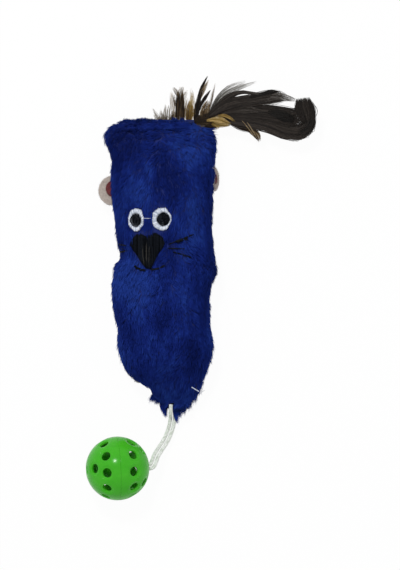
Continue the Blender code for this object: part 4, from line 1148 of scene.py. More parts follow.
def near_line(points, pixels, distance):
    """True for the (x, y) points within a distance of a line of pixels."""
    line = flat_places(pixels)
    near = np.zeros(len(points), bool)
    for first, last in zip(line, line[1:]):
        first, last = np.array(first), np.array(last)
        run = last - first
        share = np.clip((points - first) @ run / (run @ run), 0, 1)
        near |= np.linalg.norm(points - first - share[:, None] * run, axis=1) < distance
    return near


def flat_places(pixels):
    """Pixels of the photograph as (x, y) in metres."""
    return [tuple(at(*pixel)[:2]) for pixel in pixels]


def grown(outline, distance):
    """An outline pushed outwards from its middle."""
    places = np.array(outline)
    middle = places.mean(axis=0)
    return [tuple(place) for place in places + unit(places - middle) * distance]


def stitched_area(places):
    """Whether the (x, y) places lie on the eyes or the nose, and whether they lie on a line of stitches."""
    filled = inside_outline(places, grown(flat_places(nose_outline), -stitch_bare))
    for _, middle, size, *_ in eyes:
        centre = np.array(at(*middle)[:2])
        radii = np.array(size) * pixel_size / 2 - stitch_bare
        filled |= (((places - centre) / radii) ** 2).sum(axis=1) < 1
    lined = np.zeros(len(places), bool)
    for _, pixels, *_ in stitch_lines:
        lined |= near_line(places, pixels, line_bare)
    return filled, lined


def pile_paths(grid, side, rows, seed):
    """Roots on the grid between two rows, the fibres' paths from them, and the skin's directions there."""
    draw = np.random.default_rng(seed)
    count = pile_count
    first, last = rows
    low, right = grid[first : last - 1, :-1], grid[first : last - 1, 1:]
    high = grid[first + 1 : last, :-1]
    areas = np.linalg.norm(np.cross(right - low, high - low), axis=-1).ravel()
    tip_row = len(cap_shares) + 1
    top_row = len(grid) - len(cap_shares) - end_rows
    cell_rows = first + np.arange(len(areas)) // (grid.shape[1] - 1)
    areas *= np.where((cell_rows <= tip_row) | (cell_rows >= top_row), end_density, 1)
    chosen = draw.choice(len(areas), count, p=areas / areas.sum())
    row, column = np.divmod(chosen, grid.shape[1] - 1)
    row += first
    u, v = draw.random(count)[:, None], draw.random(count)[:, None]

    def read(table):
        return (
            table[row, column] * (1 - u) * (1 - v)
            + table[row, column + 1] * u * (1 - v)
            + table[row + 1, column] * (1 - u) * v
            + table[row + 1, column + 1] * u * v
        )

    roots = read(grid)
    normal = unit(read(grid_normals(grid, side)))
    at_end = np.clip((tip_row - row) / end_rows, 0, 1) + np.clip((row - top_row) / end_rows, 0, 1)
    sway = sway_turn * drift(roots, sway_size, seed + 1) + draw.normal(0, sway_noise, count)
    comb = np.stack((np.sin(sway), -np.cos(sway), side * end_lift * at_end), axis=1)
    lie = unit(comb - normal * (comb * normal).sum(axis=1, keepdims=True))
    rise = mixed(pile_rise, pile_rise_ends, at_end) + draw.normal(0, rise_noise, count)
    change = length_change * drift(roots, length_size, seed + 2) + draw.normal(0, length_noise, count)
    length = pile_length * (1 + change)
    length *= np.where(row > len(grid) / 2, 1 - top_shorter * at_end, 1 + tip_longer * at_end)
    stand = normal * np.sin(rise)[:, None] + lie * np.cos(rise)[:, None]
    bend = normal * np.sin(rise - pile_bend)[:, None] + lie * np.cos(rise - pile_bend)[:, None]
    starts = roots - normal * pile_bury
    middles = starts + stand * length[:, None] * foot_share
    ends = middles + bend * length[:, None] * head_share

    heads = draw.choice(count, max(int(count * clump_share), 2), replace=False)
    tree = kdtree.KDTree(len(heads))
    for index, head in enumerate(heads):
        tree.insert(roots[head], index)
    tree.balance()
    leader = heads[[tree.find(root)[1] for root in roots.tolist()]]
    pull = clump_pull * draw.uniform(least_pull, 1.0, count)[:, None]
    ends = mixed(ends, ends[leader], pull)
    middles = mixed(middles, middles[leader], pull * middle_pull)
    paths = np.stack((starts, middles, ends), axis=1)
    if side > 0:
        kept = np.ones(count, bool)
        for station, chances in enumerate(zip(stitch_bare_chance, line_bare_chance)):
            places = paths[:, station, :2]
            for area, chance in zip(stitched_area(places), chances):
                kept &= ~(area & (draw.random(count) < chance))
            for pixels, half_width in (exit_bare, bar_bare):
                kept &= ~near_line(places, pixels, half_width)
        paths, normal = paths[kept], normal[kept]
    ends = paths[:, 2, :2]
    kept = (ends[:, 1] >= at(0, tip_top).y) | inside_outline(ends, flat_places(tip_outline))
    paths, normal = paths[kept], normal[kept]
    paths[..., 2] = np.maximum(paths[..., 2], floor_clearance)
    return paths, normal, draw


def pile(name, side, grid, rows, seed, look):
    """The pile on part of one cover."""
    paths, normals, draw = pile_paths(grid, side, rows, seed)
    count = len(paths)
    widths = pile_width * draw.uniform(*pile_widths, count)[:, None] * np.array(pile_taper)[None, :]
    fibres = Fibres()
    fibres.add(paths, widths, normals, any_tones(draw, count), softness=pile_softness)
    carried(fibres.build(name, look), "plush_body", slot="plush")


def long_pile(name, locks, seed, look):
    """Longer locks of pile, from the listed locks."""
    draw = np.random.default_rng(seed)
    fibres = Fibres()
    for start, end, heights, count, spreads in locks:
        hairs(fibres, at(*start, heights[0]), at(*end, heights[1]), count, spreads, draw)
    carried(fibres.build(name, look), "plush_body", slot="plush")


def hairs(fibres, start, end, count, spreads, draw):
    """A lock of hairs between two places, spread out at both ends and bowed."""
    first, last = np.array(start), np.array(end)
    root_spread, tip_spread = (spread * MM for spread in spreads)
    shift = draw.normal(size=(count, 3)) * hair_spread
    roots = first + shift * root_spread
    tips = last + (shift * hair_gather + draw.normal(size=(count, 3)) * hair_noise) * tip_spread
    run = last - first
    tips -= run * draw.uniform(0, hair_shorter, count)[:, None]
    side = unit(np.cross(run, UP))
    bows = (hair_bow + draw.normal(0, bow_noise, count)) * np.linalg.norm(run)
    places = []
    for share in np.linspace(0, 1, hair_stations):
        place = mixed(roots, tips, share) + side * (bows * 4 * share * (1 - share))[:, None]
        place[:, 2] += hair_arch * math.sin(math.pi * share)
        places.append(place)
    paths = np.stack(places, axis=1)
    paths[..., 2] = np.maximum(paths[..., 2], floor_clearance)
    paths = paths[~np.any([near_line(place[:, :2], *exit_bare) for place in places], axis=0)]
    count = len(paths)
    taper = np.linspace(1.0, hair_end, hair_stations)
    widths = hair_width * draw.uniform(*hair_widths, count)[:, None] * taper[None, :]
    tones = hair_tone + draw.uniform(-hair_tones, hair_tones, count)
    fibres.add(paths, widths, np.tile(UP, (count, 1)), tones, softness=pile_softness)


def remeshed(node, name, voxel, look):
    """An even, closed copy of a node's mesh."""
    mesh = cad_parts[node].data.copy()
    mesh.name = name
    return baked(placed(name, mesh, look), "REMESH", mode="VOXEL", voxel_size=voxel, use_smooth_shade=True)


def moved(made, change):
    """Moves an object's points by change(points, normals), as arrays."""
    mesh = made.data
    points = np.empty(len(mesh.vertices) * 3)
    normals = np.empty(len(mesh.vertices) * 3)
    mesh.vertices.foreach_get("co", points)
    mesh.vertices.foreach_get("normal", normals)
    points = points.reshape(-1, 3)
    points = points + change(points, normals.reshape(-1, 3))
    mesh.vertices.foreach_set("co", points.ravel())
    mesh.update()
    return made


def soft_mass(name, node, voxel, dent, size, seed, look, slot):
    """A lumpy copy of a stuffed piece, drawn in from the piece's outside."""

    def change(points, normals):
        lumps = 1 - lump_share + lump_share * drift(points, size, seed)
        return -normals * (dent * lumps)[:, None]

    made = moved(remeshed(node, name, voxel, look), change)
    carried(made, "plush_body", node, slot=slot)


def felt(name, node, body, hinge, size_share, shift, voxel, seed, fuzz_count, fuzz_length, slot):
    """A felt piece: a rounded, uneven copy of its node, pressed towards its hinge, with fuzz on it."""

    def change(points, normals):
        uneven = felt_uneven * drift(points, felt_lump_size, seed)
        pressed = (points - np.array(hinge)) * (size_share - 1) + shift
        return pressed + normals * (uneven - felt_drawn_in)[:, None]

    look = looks[slot]
    made = baked(remeshed(node, name, voxel, look), "SMOOTH", iterations=3)
    moved(made, change)
    carried(made, body, node, slot=slot)
    draw = np.random.default_rng(seed)
    mesh = made.data
    chosen = draw.choice(len(mesh.polygons), fuzz_count)
    roots = np.array([mesh.polygons[index].center for index in chosen])
    normals = np.array([mesh.polygons[index].normal for index in chosen])
    lean = unit(normals + fuzz_spread * draw.normal(size=(fuzz_count, 3)))
    lean = unit(lean + normals * fuzz_upright)
    length = fuzz_length * draw.uniform(*fuzz_lengths, fuzz_count)[:, None]
    curl = unit(draw.normal(size=(fuzz_count, 3)))
    middles = roots + lean * length * foot_share
    ends = middles + unit(lean + curl * fuzz_curl) * length * head_share
    paths = np.stack((roots - normals * fuzz_bury, middles, ends), axis=1)
    paths[..., 2] = np.maximum(paths[..., 2], floor_clearance)
    fibres = Fibres()
    widths = fuzz_width * np.ones((fuzz_count, 1)) * np.array(fuzz_taper)[None, :]
    fibres.add(paths, widths, normals, any_tones(draw, fuzz_count))
    carried(fibres.build(name + "_fuzz", look), body, slot=slot)


def round_arch(share):
    """A flat-topped arch from 0 at both ends to 1 between them."""
    return (1 - abs(2 * share - 1) ** 3.0) ** 0.5


def stitches(name, lines, radius, tones, look, *nodes):
    """Satin threads on the face, each between two (x, y) places at a height, arched between its ends."""
    shares = np.linspace(0, 1, thread_stations)
    arches = [round_arch(share) for share in shares]
    paths = []
    for (start, end), base, crest in lines:
        row = []
        for share, arch in zip(shares, arches):
            place = mixed(np.array(start), np.array(end), share)
            row.append(list(face_point(*place, mixed(base, crest, arch))))
        paths.append(row)
    widths = radius * np.ones((len(paths), 1)) * mixed(thread_ends, 1, np.array(arches))[None, :]
    ups = np.tile(UP, (len(paths), 1))
    fibres = Fibres()
    fibres.add(np.array(paths), widths, ups, tones, sides=6, flatness=0.8, pointed=False)
    carried(fibres.build(name, looks[look]), "plush_body", *nodes, slot=thread_slots[look])


def backing(name, outline, look, node):
    """The layer under the threads: a closed patch on the face inside an outline of (x, y) places."""
    count = len(outline)
    middle = np.mean(outline, axis=0)
    points = []
    for height in (-backing_sink, backing_top):
        for share in backing_rings:
            for place in outline:
                x, y = middle + (np.array(place) - middle) * share
                points.append(face_point(x, y, height))
        points.append(face_point(*middle, height))
    rings = len(backing_rings)
    layer = rings * count + 1
    faces = []
    for step in range(count):
        after = (step + 1) % count
        faces.append((step, after, layer + after, layer + step))
        for level in (0, layer):
            for ring in range(rings - 1):
                low = level + ring * count
                faces.append((low + step, low + after, low + count + after, low + count + step))
            inner = level + (rings - 1) * count
            faces.append((inner + step, inner + after, inner + count))
    made = from_points(name, points, faces, looks[look])
    outwards(made)
    carried(made, "plush_body", node, slot=thread_slots[look])


def lumpy(angle, lumps, seed):
    """How far a lumpy circle reaches at an angle, round about 1."""
    return 1 + lumps * (math.sin(5 * angle + seed) + 0.7 * math.sin(9 * angle + 2 * seed))


def oval_places(centre, radii, lumps, seed):
    """Places round a slightly lumpy oval."""
    places = []
    for angle in 2 * math.pi * np.arange(oval_steps) / oval_steps:
        way = np.array([math.cos(angle), math.sin(angle)])
        places.append(centre + radii * lumpy(angle, lumps, seed) * way)
    return places


def eye(side, middle, size, pupil_middle, pupil_size, seed):
    """A stitched eye: threads that run outwards all round the pupil, and upright threads in it."""
    draw = np.random.default_rng(seed)
    centre, pupil = np.array(at(*middle)[:2]), np.array(at(*pupil_middle)[:2])
    outer = np.array(size) * pixel_size / 2
    inner = np.array(pupil_size) * pixel_size / 2
    lines = []
    for step in range(eye_threads):
        angle = 2 * math.pi * (step + draw.uniform(-eye_uneven, eye_uneven)) / eye_threads
        way = np.array([math.cos(angle), math.sin(angle)])
        start = pupil + way * (inner - thread_radius * pupil_overlap)
        end = centre + way * outer * (lumpy(angle, eye_lumps, seed) + draw.normal(0, eye_ragged))
        crest = stitch_top + draw.normal(0, 1) * stitch_noise
        lines.append(((start, end), stitch_low, crest))
    tones = any_tones(draw, len(lines))
    stitches("eye_threads_" + side, lines, thread_radius * eye_thread_share, tones, "white_thread")
    outline = oval_places(centre, outer - thread_radius, eye_lumps, seed)
    backing("eye_backing_" + side, outline, "white_thread", "eye_white_" + side)

    lines = []
    for x in np.arange(pupil_inset - inner[0], inner[0] - pupil_inset / 2, thread_pitch):
        half = inner[1] * math.sqrt(max(1 - (x / inner[0]) ** 2, pupil_least))
        bottom = -half * (1 + draw.normal(0, pupil_ragged))
        top = half * (1 + draw.normal(0, pupil_ragged))
        lines.append(((pupil + (x, bottom), pupil + (x, top)), stitch_low, stitch_top + pupil_proud))
    tones = any_tones(draw, len(lines))
    stitches("pupil_threads_" + side, lines, thread_radius, tones, "black_thread")
    outline = oval_places(pupil, inner - thread_radius, 0.0, seed)
    backing("pupil_backing_" + side, outline, "black_thread", "pupil_" + side)


def nose(seed):
    """The stitched nose: upright threads in fields, with raised ribs down the middle."""
    draw = np.random.default_rng(seed)
    outline = flat_places(nose_outline)
    lines = []
    for x in np.arange(min(outline)[0] + nose_inset, max(outline)[0], thread_pitch):
        crossings = []
        for (x1, y1), (x2, y2) in zip(outline, outline[1:] + outline[:1]):
            if (x1 > x) != (x2 > x):
                crossings.append(y1 + (y2 - y1) * (x - x1) / (x2 - x1))
        if len(crossings) < 2:
            continue
        low = min(crossings) - draw.uniform(0, nose_ragged)
        high = max(crossings) + draw.uniform(0, nose_ragged_top)
        rib = sum(math.exp(-(((x - at(px, 0).x) / rib_width) ** 2)) for px, _ in nose_ribs)
        crest = stitch_top + rib * rib_height
        parts = max(1, round((high - low) / longest_thread))
        shifted = [part + draw.uniform(-cut_shift, cut_shift) for part in range(1, parts)]
        cuts = [low + (high - low) * part / parts for part in shifted]
        for start, end in zip([low, *cuts], [*cuts, high]):
            lean = draw.normal(0, nose_lean)
            run = ((x, start - thread_overlap / 2), (x + lean, end + thread_overlap / 2))
            lines.append((run, stitch_low, crest))
    stitches("nose_threads", lines, thread_radius, any_tones(draw, len(lines)), "black_thread")

    lines = []
    for px, top in nose_ribs:
        foot = mixed(px, nose_ribs[1][0], rib_gather)
        for strand in (-1, 1):
            shift = np.array((strand * thread_radius * rib_strand_reach, 0))
            start, end = np.array(at(px, top)[:2]) + shift, np.array(at(foot, rib_foot)[:2]) + shift
            lines.append(((end, start), stitch_top - rib_sink, stitch_top + rib_height + rib_sink / 2))
    # The ribs take a lighter copy of the black thread, a painted sheen.
    stitches("nose_ribs", lines, thread_radius * rib_thread_share, any_tones(draw, len(lines)), "rib_thread_painted_sheen")
    backing("nose_backing", grown(outline, -thread_radius), "black_thread", "nose")


def stitched_line(name, node, pixels, radius, crest, seed):
    """A line of short overlapping stitches."""
    draw = np.random.default_rng(seed)
    line = smooth_line([(*place, 0) for place in flat_places(pixels)], stitch_line_points)[:, :2]
    length = np.linalg.norm(np.diff(line, axis=0), axis=1).sum()
    marks = np.linspace(0, len(line) - 1, max(2, round(length / short_stitch)) + 1)
    lines = []
    for start, end in zip(marks, marks[1:]):
        first = line[int(max(start - stitch_overlap, 0))]
        last = line[int(min(end + stitch_overlap, len(line) - 1))]
        run = unit(last - first)
        side = np.array([-run[1], run[0]])
        for strand in (-1, 0, 1):
            shift = side * strand * radius * stitch_strand_reach + draw.normal(0, 1, 2) * stitch_noise
            lines.append(((first + shift, last + shift), min(stitch_low, crest / 2), crest))
    stitches(name, lines, radius * stitch_thread_share, any_tones(draw, len(lines)), "black_thread", node)


def braid(fibres, path, radius, turn, width, draw):
    """Yarns that wind both ways round a path, over and under each other, on a core."""
    runs = unit(np.gradient(path, axis=0))
    across = unit(np.cross(runs, UP))
    above = np.cross(across, runs)
    ways = np.concatenate(([0.0], np.cumsum(np.linalg.norm(np.diff(path, axis=0), axis=1))))
    weave = np.cos(2 * math.pi * yarns_each_way * ways / turn)
    for direction in (1, -1):
        for yarn in range(yarns_each_way):
            angle = direction * 2 * math.pi * ways / turn + 2 * math.pi * yarn / yarns_each_way
            outward = across * np.cos(angle)[:, None] + above * np.sin(angle)[:, None]
            reach = radius - yarn_depth * width + direction * weave * yarn_weave * width
            flat_yarn(fibres, path + outward * reach[:, None], outward, width, draw)
    core = np.full((1, len(path)), radius - core_depth * width)
    fibres.add(path[None], core, UP[None], np.array([core_tone]), 8, 1.0, False)


def flat_yarn(fibres, line, outward, width, draw):
    """One yarn, laid flat on the cord: the plies of a few finer threads side by side."""
    side = unit(np.cross(unit(np.gradient(line, axis=0)), outward))
    tone = draw.uniform(-yarn_tones, yarn_tones)
    for ply in (-1, 0, 1):
        path = line + side * ply * width * ply_pitch - outward * abs(ply) * width * ply_drop
        widths = np.full((1, len(line)), width * ply_half_width)
        up = outward[len(outward) // 2][None]
        tones = np.array([tone + draw.uniform(-ply_tones, ply_tones)])
        fibres.add(path[None], widths, up, tones, 5, 0.9, False)


def strand(name, side, look):
    """One strand of the cord, to one side of the route."""
    draw = np.random.default_rng(cord_seed + side)
    route = smooth_line(cord_route, route_points)
    runs = np.gradient(route, axis=0)
    across = unit(np.stack((-runs[:, 1], runs[:, 0], np.zeros(len(route))), axis=1))
    path = route + across * side * strand_pitch / 2
    if side < 0:
        path = smooth_line(np.concatenate((front_start, path[front_join:])), route_points)
    fibres = Fibres()
    braid(fibres, path, strand_diameter / 2, braid_turn, yarn_width, draw)
    made = fibres.build(name + "_braid", look)
    carried(made, "cord", name, slot="cord")
    length = float(np.linalg.norm(np.diff(path, axis=0), axis=1).sum())


def knot(name, centre, size, tube, body, node, look):
    """A tight knot: the cord wound through itself in a trefoil."""
    draw = np.random.default_rng(int(size / MM * 10))
    turns = np.linspace(0, 2 * math.pi, knot_points)
    shape = np.stack(
        (
            np.sin(turns) + 2 * np.sin(2 * turns),
            -np.sin(3 * turns) * knot_depth,
            np.cos(turns) - 2 * np.cos(2 * turns),
        ),
        axis=1,
    )
    reach = np.linalg.norm(shape, axis=1).max()
    path = shape * (size - tube) / reach + np.array(centre)
    fibres = Fibres()
    braid(fibres, path, tube, braid_turn * tube / (strand_diameter / 2), yarn_width * knot_yarn_share, draw)
    carried(fibres.build(name, look), body, node, slot="cord")


def revolved(profile, segments):
    """Points and faces of a closed profile of (radius, height) turned about Z."""
    count = len(profile)
    turns = 2 * math.pi * np.arange(segments) / segments
    points = []
    for turn in turns:
        cosine, sine = math.cos(turn), math.sin(turn)
        points.extend((radius * cosine, radius * sine, height) for radius, height in profile)
    faces = []
    for step in range(segments):
        here, there = step * count, (step + 1) % segments * count
        for row in range(count):
            after = (row + 1) % count
            faces.append((here + row, there + row, there + after, here + after))
    return points, faces


def hole_drills(name, side, rings, look):
    """The drills for one half: straight bores with softly dished mouths."""
    corners = 2 * math.pi * np.arange(drill_sides) / drill_sides
    places = []
    for tilt, holes, turn in rings:
        places += [(tilt, turn + 2 * math.pi * hole / holes) for hole in range(holes)]
    points = []
    faces = []
    for tilt, turn in places:
        level, rise = math.sin(tilt), math.cos(tilt)
        axis = Vector((level * math.cos(turn), level * math.sin(turn), side * rise))
        across = axis.cross(Vector(UP)).normalized()
        other = axis.cross(across)
        first = len(points)
        for depth, wider in drill_profile:
            for angle in corners:
                around = across * math.cos(angle) + other * math.sin(angle)
                points.append(axis * (ball_radius - depth) + around * (hole_radius + wider))
        for row in range(len(drill_profile) - 1):
            for corner in range(drill_sides):
                after = (corner + 1) % drill_sides
                low = first + row * drill_sides
                high = low + drill_sides
                faces.append((low + corner, low + after, high + after, high + corner))
        faces.append(tuple(first + corner for corner in range(drill_sides)))
        last = first + (len(drill_profile) - 1) * drill_sides
        faces.append(tuple(last + corner for corner in reversed(range(drill_sides))))
    made = from_points(name, points, faces, look)
    outwards(made)
    return made


def half_profile(side, has_spigot):
    """The section of one half of the ball, from its rim over the outside to the pole hole and back."""
    pole_share = math.asin(dish_radius / ball_radius)
    bore_share = math.asin(hole_radius / inner_radius)
    rim_share = math.asin(lap_gap / 2 / ball_radius)
    outer = [(ball_radius - rim_round, ball_radius * math.sin(rim_share))]
    for angle in np.linspace(rim_share + rim_step, math.pi / 2 - pole_share, ball_arc_steps):
        outer.append((ball_radius * math.cos(angle), ball_radius * math.sin(angle)))
    top = ball_radius * math.cos(pole_share)
    outer += [(radius, top - depth) for radius, depth in pole_dish]
    start = rim_share if has_spigot else math.asin((lap_height + lap_gap) / inner_radius)
    wall = []
    for angle in np.linspace(math.pi / 2 - bore_share, start, ball_arc_steps):
        wall.append((inner_radius * math.cos(angle), inner_radius * math.sin(angle)))
    middle = ball_radius - ball_wall / 2
    if has_spigot:
        lap = [(inner_radius, -lap_height), (middle - lap_gap, -lap_height), (middle - lap_gap, lap_gap / 2)]
    else:
        lap = [(middle, lap_height + lap_gap), (middle, lap_gap / 2)]
    return [(radius, side * height) for radius, height in outer + wall + lap]


def ball_half(side_name, side, has_spigot, look):
    """One moulded half of the ball, smooth, with its dished holes."""
    points, faces = revolved(half_profile(side, has_spigot), ball_segments)
    made = from_points("ball_shell_" + side_name, points, faces, look)
    outwards(made)
    drills = hole_drills("drills_" + side_name, side, (ring_one, ring_two[side_name]), look)
    baked(made, "BOOLEAN", operation="DIFFERENCE", solver="EXACT", object=drills)
    bpy.data.objects.remove(drills, do_unlink=True)
    made.data.shade_smooth()
    made.data.set_sharp_from_angle(angle=ball_edge)
    rounded_normals(made.data)
    made.data.transform(ball_frame())
    carried(made, "ball", "ball_half_" + side_name, slot="ball_plastic")


def ball_frame():
    """The ball's own frame, with +Z through the pole hole that the cord enters."""
    across = ball_pole.cross(Vector((0, 1, 0))).normalized()
    other = ball_pole.cross(across)
    turn = Matrix((across, other, ball_pole)).transposed().to_4x4()
    return Matrix.Translation(ball_centre) @ turn


def rounded_normals(mesh):
    """Shades the ball's outside and inside as true spheres, and leaves the other faces as they are."""
    corners = np.array([list(corner.vector) for corner in mesh.corner_normals])
    points = np.array([list(vertex.co) for vertex in mesh.vertices])
    reach = np.linalg.norm(points, axis=1)
    for face in mesh.polygons:
        radii = reach[list(face.vertices)]
        for radius, way in ((ball_radius, 1), (inner_radius, -1)):
            if np.abs(radii - radius).max() < sphere_match:
                for loop in face.loop_indices:
                    corners[loop] = way * unit(points[mesh.loops[loop].vertex_index])
    mesh.normals_split_custom_set([tuple(normal) for normal in corners])


def lock(fibres, rows, count, width, tone, draw):
    """Barbs that flow side by side along a lock's middle and gather into points at its end."""
    table = [(*at(x, y, height * MM), half * pixel_size) for x, y, height, half in rows]
    line = smooth_line(table, lock_points)
    shares = np.linspace(0, 1, len(line))
    runs = unit(np.gradient(line[:, :3], axis=0))
    sides = unit(np.stack((-runs[:, 1], runs[:, 0], np.zeros(len(line))), axis=1))
    across = draw.uniform(-1, 1, count)
    points = 3 + int(line[:, 3].max() / point_pitch)
    gathered = mixed(across, np.round(across * points) / points, point_gather)
    first = barb_start * draw.random(count) ** 2
    last = 1 - barb_end * draw.random(count) ** 1.6
    level = barb_level * draw.normal(size=count)
    bend = barb_wander * draw.normal(size=count)
    paths = []
    for share in np.linspace(0, 1, barb_stations):
        where = first + (last - first) * share
        middle = np.stack([np.interp(where, shares, line[:, axis]) for axis in range(3)], axis=1)
        side = np.stack([np.interp(where, shares, sides[:, axis]) for axis in range(3)], axis=1)
        reach = mixed(across, gathered, share**2) + bend * math.sin(math.pi * share) * 2
        place = middle + side * (reach * np.interp(where, shares, line[:, 3]))[:, None]
        place[:, 2] += level * min(1.0, 3 * share)
        paths.append(place)
    taper = np.interp(np.linspace(0, 1, barb_stations), *barb_taper)
    widths = width * MM * draw.uniform(*barb_widths, count)[:, None] * taper[None, :]
    bands = sum(depth * np.sin(across * pace + draw.uniform(0, 6)) for depth, pace in barb_bands)
    tones = tone + bands + draw.uniform(-barb_tones, barb_tones, count)
    fibres.add(np.stack(paths, axis=1), widths, np.tile(UP, (count, 1)), tones, flatness=barb_flatness)


def feather(kind, name, body, quill, look, slot, locks, seed):
    """A feather of several locks, with its quill along the middle of the first one."""
    draw = np.random.default_rng(seed)
    fibres = Fibres()
    rows = [(*at(x, y, height * MM - barb_level), half) for x, y, height, half in locks[0][3]]
    line = smooth_line(rows, quill_points)[None, :quill_end, :3]
    widths = quill * MM * np.linspace(1.0, quill_tip, quill_end)[None, :]
    fibres.add(line, widths, UP[None], np.array([quill_tone]), 6, 0.9)
    for count, width, tone, rows in locks:
        lock(fibres, rows, count, width, tone, draw)
    carried(fibres.build("vane_" + name, looks[look]), body, kind + "_" + name, slot=slot)


def dressed(node, look):
    """Gives a CAD node that stays a better material."""
    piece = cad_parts[node]
    if not piece.material_slots:
        piece.data.materials.append(look)
    for part in piece.material_slots:
        part.material = look


overhead_camera()
plain_light()
pale_floor()

# Materials, with colours as linear RGB: name, darker and lighter colour, grain in mm, roughness and the rest
satin = {"bump": 0.2, "depth": 0.04 * MM}
simple_looks = (
    ("blue_backing", (0.0036, 0.0125, 0.115), (0.0062, 0.0205, 0.170), 1.2, 0.95, {}),
    ("polyester_fibre", (0.70, 0.70, 0.66), (0.86, 0.86, 0.83), 3.0, 0.95, {"bump": 0.6}),
    ("pouch_cotton", (0.52, 0.47, 0.36), (0.66, 0.61, 0.49), 1.0, 0.95, {}),
    (
        "white_thread", (0.40, 0.45, 0.55), (0.80, 0.84, 0.92), 0.8, 0.55,
        {**satin, "tones": 0.6, "Specular_IOR_Level": 0.3},
    ),
    (
        "black_thread", (0.0010, 0.0016, 0.0030), (0.0075, 0.0095, 0.0140), 0.9, 0.5,
        {**satin, "tones": 0.8, "Specular_IOR_Level": 0.04},
    ),
    # The nose's ribs: the same black thread, lighter here as a painted sheen on their raised crests.
    (
        "rib_thread_painted_sheen", (0.008, 0.009, 0.010), (0.040, 0.038, 0.034), 0.9, 0.6,
        {"tones": 0.6, "Specular_IOR_Level": 0.1},
    ),
    ("felt_grey", (0.38, 0.32, 0.285), (0.56, 0.49, 0.44), 1.1, 0.92, {"Sheen_Weight": 0.2}),
    ("felt_red", (0.10, 0.012, 0.016), (0.21, 0.030, 0.036), 1.0, 0.92, {"Sheen_Weight": 0.2}),
    ("cord_thread", (0.64, 0.69, 0.61), (0.95, 0.97, 0.94), 1.4, 0.6, {"tones": 0.5}),
    ("clear_nylon", (0.62, 0.68, 0.84), (0.82, 0.87, 0.98), 1.5, 0.3, {}),
    ("binding_thread", (0.02, 0.012, 0.008), (0.06, 0.04, 0.03), 0.4, 0.7, {"stretch": (3, 1, 1)}),
)
# The feathers' materials: name, how much lighter the tips are, and the colours of a few tones
dark_stops = (
    (0.08, (0.004, 0.003, 0.002)), (0.35, (0.017, 0.0125, 0.010)), (0.60, (0.050, 0.040, 0.033)),
    (0.85, (0.17, 0.155, 0.14)),
)
pale_stops = ((0.15, (0.035, 0.029, 0.024)), (0.50, (0.15, 0.14, 0.125)), (0.80, (0.60, 0.59, 0.56)))
brown_stops = (
    (0.10, (0.006, 0.003, 0.002)), (0.40, (0.028, 0.016, 0.007)), (0.65, (0.12, 0.072, 0.032)),
    (0.85, (0.44, 0.33, 0.19)),
)
yellow_stops = ((0.15, (0.09, 0.045, 0.015)), (0.50, (0.50, 0.33, 0.085)), (0.85, (0.66, 0.52, 0.27)))
sparse_stops = ((0.15, (0.06, 0.040, 0.022)), (0.50, (0.22, 0.17, 0.11)), (0.85, (0.50, 0.46, 0.40)))
vane_looks = (
    ("dark_vane", 0.10, dark_stops),
    ("pale_vane", 0.60, pale_stops),
    ("brown_vane", 0.12, brown_stops),
    ("yellow_vane", 0.15, yellow_stops),
    ("sparse_vane", 0.30, sparse_stops),
)
blue_pile = plush_look("blue_pile", (0.0036, 0.0108, 0.106), (0.0072, 0.0215, 0.192), (0.0150, 0.0450, 0.290))
looks = {}
for name, low, high, grain, roughness, others in simple_looks:
    looks[name] = simple_look(name, low, high, grain * MM, roughness, **others)
green_plastic = plastic_look("green_plastic", (0.042, 0.39, 0.011), (0.060, 0.46, 0.018))
for name, run, stops in vane_looks:
    looks[name] = feather_look(name, run, *stops)

# Cord, its knots and what holds it
cord_thread = looks["cord_thread"]
strand("cord_strand_left", -1, cord_thread)
strand("cord_strand_right", 1, cord_thread)
for row in knots:
    knot(*row, cord_thread)
dressed("cord_anchor", cord_thread)
dressed("feather_binding", looks["binding_thread"])

# Plush covers with their pile, and what they are stuffed with
for side, name, seed in ((1, "front", 40), (-1, "back", 60)):
    grid = skin_grid(side)
    cover = skin("plush_" + name, side, grid, looks["blue_backing"])
    carried(cover, "plush_body", name + "_cover", slot="plush")
    half_way = round(len(grid) / 2)
    pile("pile_" + name + "_upper", side, grid, (half_way, len(grid)), seed, blue_pile)
    pile("pile_" + name + "_lower", side, grid, (0, half_way + 1), seed + 10, blue_pile)
long_pile("pile_tip", tip_locks, hair_seed, blue_pile)
for *shape, look, slot in soft_masses:
    soft_mass(*shape, looks[look], slot)

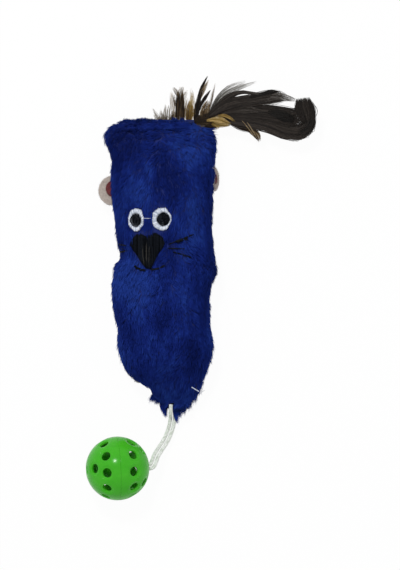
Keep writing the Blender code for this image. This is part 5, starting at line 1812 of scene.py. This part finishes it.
# Stitched face
for row in eyes:
    eye(*row)
nose(nose_seed)
for step, (node, pixels, radius, crest) in enumerate(stitch_lines):
    stitched_line(node + "_stitches", node, pixels, radius, crest, stitch_seed + step)
stitched_line("whisker_knot", "whisker_right_upper", *whisker_knot, whisker_knot_seed)
jump_line = (flat_places(jump_thread), *jump_heights)
stitches("jump_thread", [jump_line], jump_radius, np.array([0.0]), "white_thread")

# Felt ears
for side, hinge, ear_share, lining_share, lining_shift in ear_hinges:
    ear = "ear_" + side
    felt("felt_" + ear, ear, ear, hinge, ear_share, (0, 0, 0), *ear_felt)
    lining = "ear_lining_" + side
    felt("felt_lining_" + side, lining, ear, hinge, lining_share, lining_shift, *lining_felt)

# Feathers: kind, name, the quill's half width in mm, material, slot and locks
feathers = (
    ("feather", "long", 0.55, "dark_vane", "feather_grey", long_locks),
    ("feather", "upper", 0.45, "dark_vane", "feather_grey", upper_locks),
    ("feather", "wispy", 0.25, "pale_vane", "feather_pale", wispy_locks),
    ("feather", "fringe", 0.3, "brown_vane", "feather_brown", fringe_locks),
    ("feather", "tuft", 0.3, "yellow_vane", "feather_yellow", tuft_locks),
    ("plume", "tall", 0.35, "brown_vane", "feather_brown", tall_locks),
    ("plume", "brown", 0.3, "brown_vane", "feather_brown", brown_locks),
    ("plume", "yellow", 0.3, "yellow_vane", "feather_yellow", yellow_locks),
    ("plume", "sparse", 0.15, "sparse_vane", "feather_pale", sparse_locks),
)
feather_bodies = {"feather": "long_feathers", "plume": "plumes"}
for step, (kind, name, quill, look, slot, locks) in enumerate(feathers):
    feather(kind, name, feather_bodies[kind], quill, look, slot, locks, feather_seed + step)

# Ball and tag fastener
ball_half("right", 1, False, green_plastic)
ball_half("left", -1, True, green_plastic)
bar = remeshed("tag_fastener", "nylon_fastener", bar_voxel, looks["clear_nylon"])
baked(bar, "SMOOTH", iterations=bar_smoothing)
moved(bar, lambda points, normals: np.array(bar_shift) - normals * bar_thinner)
carried(bar, "plush_body", "tag_fastener", slot="nylon")

bpy.context.scene.view_settings.view_transform = "Standard"

low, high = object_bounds()
